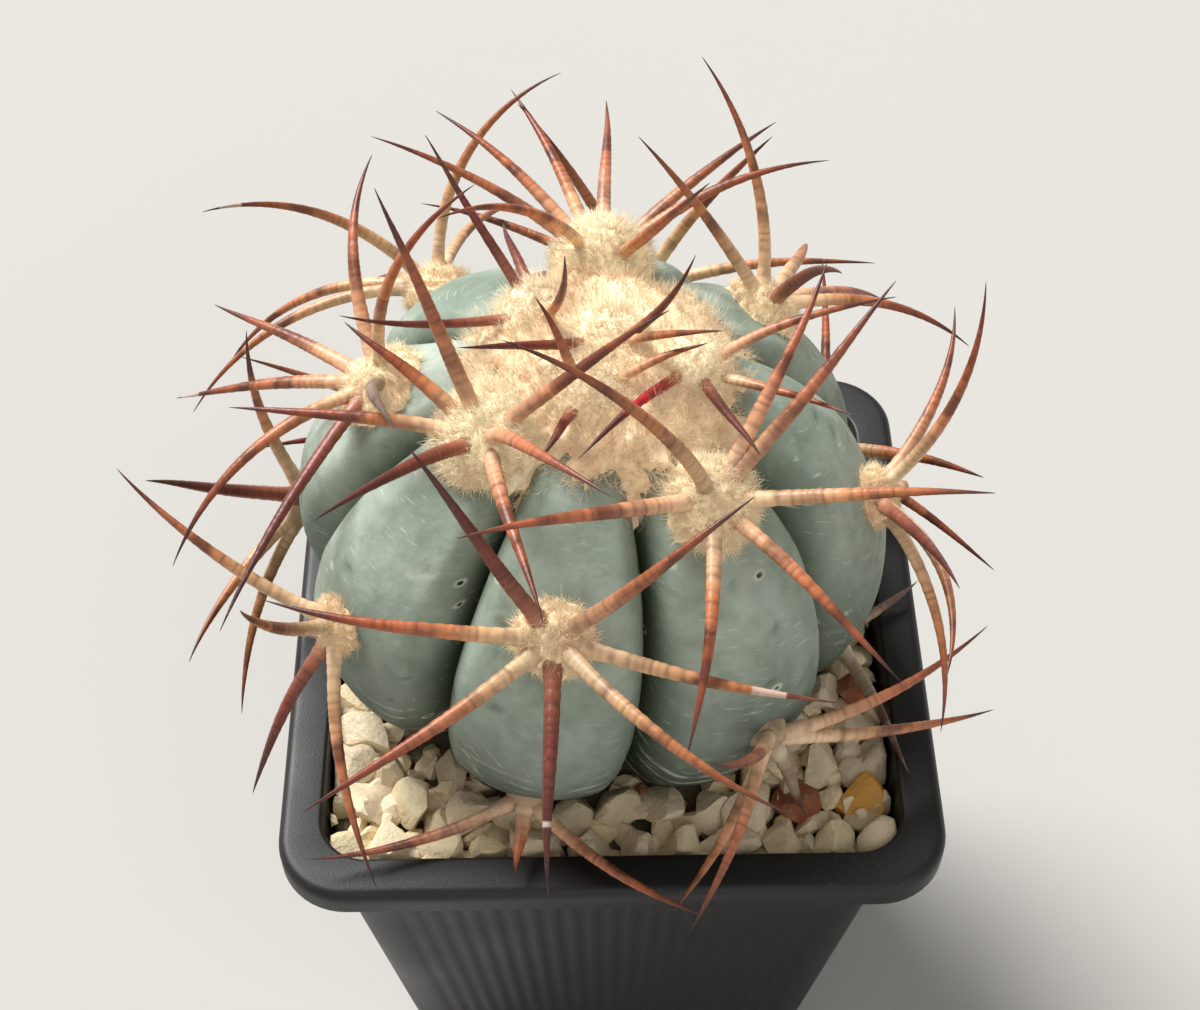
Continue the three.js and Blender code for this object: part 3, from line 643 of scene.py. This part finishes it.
# Each kind's colours along the spine, by their share of the way from root to tip.
SPINE_COLOURS = {
    "rust": [(0, (232, 206, 166)), (0.18, (218, 176, 132)), (0.34, (188, 118, 76)), (0.58, (158, 80, 44)),
             (0.8, (124, 56, 38)), (0.93, (70, 36, 30)), (1, (34, 22, 22))],
    "tan": [(0, (234, 204, 166)), (0.28, (214, 168, 124)), (0.5, (190, 122, 78)), (0.75, (152, 84, 48)),
            (0.92, (90, 46, 34)), (1, (38, 26, 24))],
    "rosy": [(0, (230, 194, 160)), (0.2, (212, 160, 122)), (0.45, (180, 108, 72)), (0.75, (146, 76, 46)),
             (0.93, (78, 40, 32)), (1, (36, 24, 24))],
    "dark": [(0, (188, 138, 110)), (0.12, (152, 90, 68)), (0.4, (118, 54, 42)), (0.75, (88, 38, 32)),
             (1, (34, 22, 22))],
    "red": [(0, (208, 160, 120)), (0.22, (172, 100, 62)), (0.32, (196, 36, 42)), (0.55, (192, 30, 40)),
            (0.68, (124, 46, 38)), (0.9, (72, 36, 34)), (1, (38, 24, 22))],
    "grey": [(0, (206, 188, 162)), (0.15, (176, 152, 128)), (0.5, (146, 122, 102)), (0.85, (104, 84, 72)),
             (1, (60, 50, 46))],
}
# The kind of each spine in the table of the front view, in its order. A dash leaves it to a draw.
SEEN_KINDS = {
    1: "dark rosy dark", 2: "dark", 3: "dark dark - dark", 4: "rust rosy red dark",
    5: "rosy rosy dark rust rosy rosy rust", 6: "rust rosy rosy rosy rust rosy rust rust",
    7: "rosy tan rosy rosy tan rosy rust", 8: "rosy - rosy rosy rust - grey", 9: "tan tan tan rosy rust dark",
    10: "dark rosy rust tan rust dark tan", 11: "tan tan tan tan", 12: "rosy rust - tan tan dark",
    13: "tan tan dark tan", 15: "tan rosy tan rosy grey", 16: "dark tan tan tan", 18: "rosy rosy rosy",
    20: "grey grey",
}
SPINE_KINDS = {(number, index): kind for number, kinds in SEEN_KINDS.items()
               for index, kind in enumerate(kinds.split()) if kind != "-"}
PALE_PATCHES = {(8, 3): (0.86, 0.97), (10, 3): (0.69, 0.82), (10, 5): (0.69, 0.72), (11, 1): (0.84, 0.93)}
NO_PATCH = (2, 2)
SPINE_SIDES = 8
SPINE_STEP = 0.31
RING_GAP = 1.2


def end_caps(rings, columns):
    """The triangles that close a tube or lump of rings, whose end points are its first and last."""
    here = np.arange(columns)
    beside = (here + 1) % columns
    last = 1 + rings * columns
    return np.concatenate([np.stack([0 * here, beside + 1, here + 1], 1),
                           np.stack([here + last - columns, beside + last - columns, 0 * here + last], 1)])


def spine_kind(number, index):
    """The colour of a spine that the front view shows, or a seeded one."""
    others = ["tan", "rust", "rust", "rosy", "tan", "dark"]
    return SPINE_KINDS.get((number, index)) or others[int(6 * draw(number, index + 200))]


def spine_mesh(seat, shape, thick, kind, pale, seed):
    """A tapering tube along the spine's arc, closed at both ends, that sways a little sideways. Its colours
    run from root to tip as the kind says, under painted shade in the hollows between its rings at uneven
    steps, blotches and, on a few, one whitish patch."""
    length = shape[3]
    steps = 2 * int(length / (2 * SPINE_STEP))
    line = spine_line(seat, shape, steps)
    share = np.linspace(0, 1, steps + 1)
    clock = math.radians(shape[0])
    across = seat["sideways"] * math.cos(clock) - seat["upward"] * math.sin(clock)
    sway = (draw(seed, 1) - 0.5) * 1.4 * share ** 2 + 0.25 * np.sin(3 + 5 * draw(seed, 2) + 6 * share) * share
    line = line + sway[:, None] * across
    along = unit(np.gradient(line, axis=0))
    line[0] -= 1.2 * along[0]
    over = unit(np.cross(along, across))
    phase = share * length / RING_GAP + 0.5 * np.sin(share * length * 0.8 + 6.3 * draw(seed, 7))
    radius = 0.7 * thick * (1 - share ** 1.9) * (1 + 0.04 * np.cos(2 * np.pi * phase)) + 0.05
    radius *= 1 + 0.3 * np.exp(-(share / 0.07) ** 2)
    angle = 2 * np.pi * np.arange(SPINE_SIDES) / SPINE_SIDES
    rings = line[:, None] + radius[:, None, None] * (
        1.1 * np.cos(angle)[None, :, None] * across + 0.92 * np.sin(angle)[None, :, None] * over[:, None])
    points = np.concatenate([line[:1], rings.reshape(-1, 3), line[-1:] + 0.3 * along[-1:]])
    stops, colours = zip(*SPINE_COLOURS[kind])
    colours = np.array([tone_of(colour) for colour in colours])
    moved = np.clip(share + 0.10 * (draw(seed, 3) - 0.5), 0, 1)
    tone = np.stack([np.interp(moved, stops, colours[:, channel]) for channel in range(3)], 1)
    # Painted shade in the hollows between the rings, strongest along the middle of the spine.
    groove_shade = np.exp(-((phase % 1 - 0.5) / 0.15) ** 2) * (0.35 + 0.65 * draw(seed, 40 + np.floor(phase)))
    depth = 0.08 + 0.42 * np.sin(np.pi * np.clip(1.15 * share, 0, 1)) ** 0.7
    swell = 0.08 * np.sin(share * length * 0.6 + seed)
    tone *= ((1 + swell - depth * groove_shade) * (0.86 + 0.3 * draw(seed, 5)))[:, None]
    whitish = (share > pale[0]) & (share < pale[1])
    tone[whitish] = mix(tone[whitish], tone_of((222, 202, 186)), 0.6)
    blotch = np.clip(ripple(rings, 6, seed) * 2.6 - 0.3, 0, 1) * np.clip(3 * share - 0.35, 0, 1)[:, None]
    tone = mix(tone[:, None], tone_of((80, 38, 30)), 0.75 * blotch[..., None] * ~whitish[:, None, None])
    tone = np.concatenate([tone[0, :1], tone.reshape(-1, 3), tone[-1, :1]])
    return points, grid_quads(steps + 1, SPINE_SIDES) + 1, end_caps(steps + 1, SPINE_SIDES), tone


def join(parts):
    """Joins meshes of points, four-sided faces, three-sided faces and colours into one."""
    starts = np.cumsum([0] + [len(part[0]) for part in parts[:-1]])
    moved = [(points, quads + start, triangles + start, tint)
             for (points, quads, triangles, tint), start in zip(parts, starts)]
    return [np.concatenate(arrays) for arrays in zip(*moved)]


def lumpy(ball, wide, rough, seed):
    """Points of a unit ball, that wide in mm, moved out and in by long and short smooth noise."""
    relief = ripple(ball * wide, 4.5, seed) + 0.5 * ripple(ball * wide, 1.8, seed + 1)
    return ball * (1 + rough * relief)[:, None]


def lump_mesh(seat, wide, tall, sunk, rough, colour, seed, columns=24, rows=14, tufts=0.0):
    """A round, lumpy pad, closed at both poles, that bulges out of the stem at a seat. Tufts of a height in
    mm make it fleecy, with painted shade: paler on top of them than between them."""
    turn = 2 * np.pi * np.arange(columns) / columns
    rise = np.linspace(-np.pi / 2, np.pi / 2, rows)[1:-1, None]
    ball = np.stack([np.cos(rise) * np.cos(turn), np.cos(rise) * np.sin(turn), np.sin(rise) + 0 * turn], -1)
    ball = np.concatenate([[[0, 0, -1]], ball.reshape(-1, 3), [[0, 0, 1]]])
    grain = draw(seed, np.arange(len(ball)))
    tuft = 0.55 * ripple(ball * wide, 1.3, seed + 2) + 0.75 * (grain - 0.5)
    ball = lumpy(ball, wide, rough, seed) * [wide, wide, tall + sunk] + tufts * tuft[:, None] * ball
    basis = np.stack([seat["sideways"], seat["upward"], seat["outward"]])
    points = seat["place"] - sunk * seat["outward"] + ball @ basis
    # With tufts this is painted shade, paler where they stand high; without them, a random grain of tone.
    shade = 1 + np.where(tufts > 0, 0.22 * tuft, 0.2 * (grain - 0.5))
    tint = shade[:, None] * tone_of(colour)
    return points, grid_quads(rows - 2, columns) + 1, end_caps(rows - 2, columns), tint


horn, tree, shader = new_material("ringed_horn", Roughness=0.4, Specular_IOR_Level=0.45)
worn = step_up(tree, noise(tree, 900, 4), 0.6, 0.8)
tone = stain(tree, mesh_tint(tree), worn, 0.2, (204, 158, 118))
smudge = step_up(tree, noise(tree, 420, 5), 0.5, 0.66)
tone = stain(tree, tone, smudge, 0.38, (84, 40, 24))
cover(tree, shader, tone, noise(tree, 2500, 3), 0.00008, 0.5)

for seat in seats:
    number = seat["number"]
    hub_colour = (226, 204, 164) if number <= LAST_WOOLLY_AREOLE else (172, 146, 116)
    hub = lump_mesh(seat, wide=2.8, tall=2.0, sunk=1.0, rough=0.1, colour=hub_colour, seed=500 + number)
    tubes = [spine_mesh(seat, spine["shape"], spine["thick"], spine_kind(number, spine["index"]),
                        PALE_PATCHES.get((number, spine["index"]), NO_PATCH), 100 * number + spine["index"])
             for spine in placed if spine["number"] == number]
    cluster = add_piece(f"areole_{number:02d}_spines", *join([hub, *tubes]), horn)
    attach(cluster, "root")
    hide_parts(f"spines_{number:02d}")


# WOOL. Cream felt of fine curled hairs that grows from the young areoles. On the crown
# it runs together into one mass, and further down each areole keeps a pad of its own.

GOLDEN_ANGLE = 2.39996
HAIR_RADIUS = 0.04
LONG_HAIR_RADIUS = 0.046
LOCK_WIDTH = 1.9
YOUNG_WOOL = np.array([255, 241, 206])
OLD_WOOL = np.array([250, 222, 180])


def strays(seed, index):
    """Seeded vectors whose three numbers each lie from -0.5 to 0.5."""
    return np.stack([draw(seed + axis, index) for axis in range(3)], 1) - 0.5


def hairs(roots, ways, lengths, curl, thick, colour, seed, spans):
    """Curled three-sided hairs, each in a few spans from a closed root to a point, with a shade of the
    colour each. A hair is an arc that starts out along its way and bends by the curl to a seeded side."""
    count = len(roots)
    index = np.arange(count)
    side = unit(np.cross(ways, strays(seed, index)))
    over = np.cross(ways, side)
    bend = curl * (0.4 + draw(seed + 3, index))
    share = np.arange(spans) / spans
    angle = share[None] * bend[:, None]
    forward = np.sinc(angle / np.pi) * share
    aside = (1 - np.cos(angle)) / np.maximum(bend[:, None], 1e-6)
    twist = 0.25 * share ** 2 * (draw(seed + 4, index)[:, None] - 0.5)
    line = forward[..., None] * ways[:, None] + aside[..., None] * side[:, None]
    line = line + twist[..., None] * over[:, None]
    line = roots[:, None] + line * lengths[:, None, None]
    tip_forward = np.sinc(bend / np.pi)[:, None] * ways
    tip_aside = ((1 - np.cos(bend)) / np.maximum(bend, 1e-6))[:, None] * side
    tips = roots + (tip_forward + tip_aside) * lengths[:, None]
    radius = thick * (1 - 0.35 * share)
    turn = 2 * np.pi * np.arange(3) / 3
    ring = np.cos(turn)[:, None] * side[:, None, None] + np.sin(turn)[:, None] * over[:, None, None]
    rings = line[:, :, None] + radius[None, :, None, None] * ring
    points = np.concatenate([rings.reshape(count, -1, 3), tips[:, None]], 1)
    size = points.shape[1]
    start = (index * size)[:, None, None]
    quads = (grid_quads(spans, 3)[None] + start).reshape(-1, 4)
    last = 3 * (spans - 1)
    caps = np.array([[0, 2, 1], [last, last + 1, size - 1], [last + 1, last + 2, size - 1],
                     [last + 2, last, size - 1]])
    caps = (caps[None] + start).reshape(-1, 3)
    tone = tone_of(colour) * (0.86 + 0.24 * draw(seed + 5, index))[:, None]
    # Painted shade: each hair darker at its root, deep in the fleece, and palest at its tip.
    shade = np.concatenate([np.repeat(mix(0.86, 1.0, share), 3), [1.02]])
    return points.reshape(-1, 3), quads, caps, (tone[:, None] * shade[:, None]).reshape(-1, 3)


def pad_hairs(seat, wide, tall, sunk, rough, colour, seed, count, length, low=0.25):
    """Hairs over the upper part of a lump, spread by the golden angle, that stand out of it, lean together
    in locks and curl every way. Every fourth one is long and has two spans, and the others have one."""
    index = np.arange(count)
    rise = mix(low, 1.0, (index + 0.5) / count)
    turn = index * GOLDEN_ANGLE + 0.4 * draw(seed, index)
    flat = np.sqrt(1 - rise ** 2)
    ball = np.stack([flat * np.cos(turn), flat * np.sin(turn), rise], 1)
    basis = np.stack([seat["sideways"], seat["upward"], seat["outward"]])
    surface = lumpy(ball, wide, rough, seed) * [wide, wide, tall + sunk]
    roots = seat["place"] - sunk * seat["outward"] + (surface - 0.25 * ball) @ basis
    normal = unit(ball / [wide, wide, tall + sunk])
    lock = np.stack([ripple(surface, LOCK_WIDTH, seed + 5 + axis) for axis in range(3)], 1)
    ways = unit(normal @ basis + 1.2 * strays(seed + 1, index) + 0.9 * lock)
    reach = length * (0.45 + 0.55 * draw(seed + 4, index)) * (1 + 0.3 * ripple(surface, 3.2, seed + 8))
    long = index % 4 == 0
    reach[long] *= 1.3
    long_hairs = hairs(roots[long], ways[long], reach[long], 1.7, LONG_HAIR_RADIUS, colour, seed + 10, 2)
    short_hairs = hairs(roots[~long], ways[~long], reach[~long], 0.8, HAIR_RADIUS, colour, seed + 20, 1)
    return join([long_hairs, short_hairs])


# The felt glows a little: painted light that stands in for light passing through the wool.
felt, tree, shader = new_material("cream_felt_painted_glow", Roughness=0.9, Specular_IOR_Level=0.1, Sheen_Weight=0.25,
                                  Sheen_Tint=(1.0, 0.8, 0.55, 1.0), Emission_Color=(1.0, 0.79, 0.54, 1.0),
                                  Emission_Strength=0.11)
# Warmer, darker patches spread by noise over the felt.
warm_patches = step_up(tree, noise(tree, 130, 3), 0.5, 0.72)
tone = stain(tree, mesh_tint(tree), warm_patches, 0.45, (204, 150, 106))
cover(tree, shader, tone, noise(tree, 3600, 3), 0.00015, 0.6)

crown_seat = {"place": STEM_CENTRE + [1.5, 0, CROWN_RISE], "outward": np.array([0.0, 0, 1]),
              "upward": np.array([0.0, 1, 0]), "sideways": np.array([1.0, 0, 0])}
crown = {"seat": crown_seat, "wide": 19.2, "tall": 2.8, "sunk": 9, "rough": 0.06, "colour": (246, 222, 184),
         "seed": 610}
crown_parts = [lump_mesh(**crown, columns=160, rows=56, tufts=0.4),
               pad_hairs(**crown, count=17500, length=3.1, low=-0.05)]
for seat in seats[:4]:
    tuft = {"seat": seat, "wide": 5.4, "tall": 4.2, "sunk": 1, "rough": 0.06, "colour": (252, 235, 200),
            "seed": 630 + 30 * seat["number"]}
    crown_parts += [lump_mesh(**tuft, columns=56, rows=30, tufts=0.5),
                    pad_hairs(**tuft, count=2300, length=2.6, low=0.1)]
crown_wool = add_piece("crown_wool_felt", *join(crown_parts), felt)
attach(crown_wool, "root")
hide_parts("crown_wool")

for seat in seats[4:LAST_WOOLLY_AREOLE]:
    number = seat["number"]
    young = number <= LAST_CROWN_AREOLE
    colour = np.round(mix(YOUNG_WOOL, OLD_WOOL, (number - REFERENCE_AREOLE) / 8))
    wide = pad_radius(number) - (0.9 if young else 0.6)
    core = {"seat": seat, "wide": wide, "tall": pad_height(number) - 0.7, "sunk": 2, "rough": 0.05,
            "colour": colour, "seed": 900 + 40 * number}
    fleece = {"count": 7600, "length": 2.5} if young else {"count": 5400, "length": 1.8}
    parts = [lump_mesh(**core, columns=76, rows=36, tufts=0.5), pad_hairs(**core, **fleece)]
    pad = add_piece(f"areole_{number:02d}_felt", *join(parts), felt)
    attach(pad, "root")
    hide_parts("crown_wool" if young else f"wool_{number:02d}")


# GRAVEL. A top dressing of cream crushed stone, 4 to 8 mm, poured over the soil up to
# just under the rim. A few chips are amber or brick red, and finer grit lies beneath.

GRAVEL_BED = POT_HEIGHT - 4.8
GRAVEL_FOOT = POT_HEIGHT - 9.6
PEBBLE_LEVEL = POT_HEIGHT - 3.4
WALL_GAP = 0.35
FACETS = 11
CREAM_STONE = (226, 208, 176)
BROWN_STONE = (172, 126, 86)
BROWN_SHARE = 0.012
COLOURED_STONES = [(34.8, -28.9, (216, 156, 70)), (24.5, -31.5, (150, 84, 58)), (37.0, -12.8, (172, 106, 74)),
                   (-30, 33, (160, 96, 66))]


def ball_faces(level):
    """The points and triangles of a unit ball made of evenly sized triangles."""
    shape = bmesh.new()
    bmesh.ops.create_icosphere(shape, subdivisions=level, radius=1)
    points = np.array([point.co for point in shape.verts])
    triangles = np.array([[corner.index for corner in face.verts] for face in shape.faces])
    shape.free()
    return points, triangles


def stones(places, least, spread, level, seed, size_seed, marked=()):
    """Crushed stones: balls that seeded planes flatten, stretched along their axes by the least size plus a
    share of the spread, tipped and turned, and kept inside the walls and under the rim. Each has one cream
    shade, a few are brown, and those nearest to the marked places take the colour given with them."""
    ball, triangles = ball_faces(level)
    count = len(places)
    index = np.arange(count)
    points = np.repeat(ball[None], count, 0)
    for facet in range(FACETS):
        way = unit(np.stack([draw(index + seed, 60 + 3 * facet + axis) - 0.5 for axis in range(3)], 1))
        reach = 0.42 + 0.34 * draw(index + seed, 100 + facet)
        beyond = np.maximum(0, np.einsum("npk,nk->np", points, way) - reach[:, None])
        points = points - beyond[..., None] * way[:, None]
    sizes = np.stack([least[axis] + spread[axis] * draw(index, size_seed + axis) for axis in range(3)], 1)
    points = points * sizes[:, None]
    for first, second, angle in [(1, 2, 0.9 * (draw(index, seed + 4) - 0.5)),
                                 (0, 2, 0.9 * (draw(index, seed + 5) - 0.5)),
                                 (0, 1, 2 * np.pi * draw(index, seed + 6))]:
        cos, sin = np.cos(angle)[:, None], np.sin(angle)[:, None]
        one, two = points[..., first].copy(), points[..., second].copy()
        points[..., first], points[..., second] = one * cos - two * sin, one * sin + two * cos
    points = points + places[:, None]
    limit = inner_half(POT_HEIGHT - 4) - WALL_GAP
    points[..., :2] = np.clip(points[..., :2], -limit, limit)
    points[..., 2] = np.minimum(points[..., 2], POT_HEIGHT - 0.5)
    tone = tone_of(CREAM_STONE) * (0.84 + 0.42 * draw(index, seed + 7))[:, None]
    tone[:, 2] *= 0.88 + 0.2 * draw(index, seed + 8)
    tone[draw(index, seed + 9) < BROWN_SHARE] = tone_of(BROWN_STONE)
    for x, y, colour in marked:
        tone[np.argmin(np.hypot(places[:, 0] - x, places[:, 1] - y))] = tone_of(colour)
    faces = (triangles[None] + (index * len(ball))[:, None, None]).reshape(-1, 3)
    return points.reshape(-1, 3), np.zeros((0, 4), int), faces, np.repeat(tone, len(ball), 0)


def scattered(rows, columns, edge, level, jitter, seed, clear):
    """Places on staggered rows, shifted by seeded draws, where they stand clear of the stem."""
    index = 1 + np.arange((rows + 1) * (columns + 1))
    row, column = np.divmod(index - 1, columns + 1)
    across = (column + (row % 2) / 2) / columns
    x = mix(-edge, edge, across) + jitter * (draw(index, seed) - 0.5)
    y = mix(-edge, edge, row / rows) + jitter * (draw(index, seed + 1) - 0.5)
    z = level + 1.2 * (draw(index, seed - 1) - 0.5)
    places = np.stack([x, y, z], 1)
    low, high = (height_over_stem(np.stack([x, y, 0 * x + at], 1)) for at in (level, POT_HEIGHT - 0.7))
    return places[(across <= 1) & (np.minimum(low, high) > clear)]


limestone, tree, shader = new_material("crushed_limestone", Roughness=0.72, Specular_IOR_Level=0.35)
vein = step_up(tree, noise(tree, 420, 5), 0.45, 0.72)
tone = stain(tree, mesh_tint(tree), vein, 0.4, (186, 164, 128))
speck = step_up(tree, noise(tree, 2400, 2), 0.68, 0.76)
tone = stain(tree, tone, speck, 0.5, (120, 104, 84))
cover(tree, shader, tone, noise(tree, 1300, 6, rough=0.6), 0.0005, 0.8)

top = scattered(12, 11, edge=MOUTH_HALF - 2.8, level=PEBBLE_LEVEL, jitter=2.0, seed=8, clear=1.6)
under = scattered(19, 18, edge=MOUTH_HALF - 1.8, level=GRAVEL_BED + 0.2, jitter=2.2, seed=21, clear=0.4)
chips = scattered(23, 22, edge=MOUTH_HALF - 1.6, level=PEBBLE_LEVEL - 0.2, jitter=3.0, seed=31, clear=0.2)
layers = [stones(top, (3.7, 3.0, 2.6), (1.7, 1.1, 0.8), level=3, seed=430, size_seed=401,
                 marked=COLOURED_STONES),
          stones(under, (2.9, 2.3, 2.1), (1.1, 0.8, 0.6), level=2, seed=460, size_seed=411),
          stones(chips[::3], (1.5, 1.2, 1.1), (0.9, 0.6, 0.4), level=2, seed=490, size_seed=421)]
gravel = add_piece("gravel_stones", *join(layers), limestone)
gravel.data.set_sharp_from_angle(angle=math.radians(24))
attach(gravel, "root")
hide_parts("gravel")

grit, tree, shader = new_material("fine_grit", Roughness=0.9)
grain = noise(tree, 1500, 4)
cover(tree, shader, turn_to(tree, grain, linear(60, 50, 38), linear(140, 122, 96)), grain, 0.0006)
rows = []
for z, half in [(GRAVEL_FOOT, 0), (GRAVEL_FOOT, 1), (GRAVEL_BED - 1.2, 1), (GRAVEL_BED - 1.2, 0)]:
    flat = square_quarter(inner_half(z) - WALL_GAP, inner_corner(z), 0)[:-1] * half
    rows.append(np.column_stack([flat, np.full(len(flat), z)]))
points = four_ways(np.stack(rows)).transpose(1, 0, 2, 3).reshape(-1, 3)
bed = add_piece("gravel_bed", *weld(points, grid_quads(4, len(points) // 4)), grit)
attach(bed, "root")
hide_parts("gravel")


# STAGE. A pale plain floor that curves up far away, soft even light from behind and to
# the left with a weaker one from the front, and the camera that looks down from the front.

FLOOR_REACH = 20000
FLAT_REACH = 1480
FLOOR_BEND = 97785.714
KEY_LAMP = ("key_lamp", (-0.35, 0.42, 0.62), 30, 5.6)
FILL_LAMP = ("fill_lamp", (0.3, -0.6, 0.5), 60, 0.7)
CAMERA_PLACE = (-0.0038, -0.1631, 0.3225)
CAMERA_DIP = 52.3
CAMERA_TURN = -0.94
LENS = 59.16

floor_matt, tree, shader = new_material("pale_floor", Base_Color=linear(178, 176, 171), Roughness=0.85)
reach = np.linspace(FLOOR_REACH, 0, 41)[:, None]
turn = 2 * np.pi * np.arange(64) / 64
# The disc's height is the square of the way beyond its flat part, over the bend.
rise = np.maximum(0, reach - FLAT_REACH) ** 2 / FLOOR_BEND + 0 * turn
points = np.stack([reach * np.cos(turn), reach * np.sin(turn), rise], -1).reshape(-1, 3)
floor = add_piece("floor", *weld(points, grid_quads(len(reach), len(turn))), floor_matt)

world = bpy.data.worlds.new("soft_sky")
world.use_nodes = True
world.node_tree.nodes["Background"].inputs["Color"].default_value = (1.0, 0.98, 0.94, 1.0)
world.node_tree.nodes["Background"].inputs["Strength"].default_value = 0.3
bpy.context.scene.world = world

for name, way, spread, power in [KEY_LAMP, FILL_LAMP]:
    lamp = bpy.data.objects.new(name, bpy.data.lights.new(name, "SUN"))
    lamp.data.angle = math.radians(spread)
    lamp.data.energy = power
    lamp.location = way
    lamp.rotation_euler = (math.atan2(math.hypot(way[0], way[1]), way[2]), 0, math.atan2(way[0], -way[1]))
    bpy.context.scene.collection.objects.link(lamp)

camera = bpy.data.objects.new("camera", bpy.data.cameras.new("camera"))
camera.location = CAMERA_PLACE
camera.rotation_euler = (math.radians(90 - CAMERA_DIP), 0, math.radians(CAMERA_TURN))
camera.data.sensor_width = 36
camera.data.lens = LENS
camera.data.clip_start = 0.01
bpy.context.scene.collection.objects.link(camera)
bpy.context.scene.camera = camera
bpy.context.scene.view_settings.view_transform = "Standard"
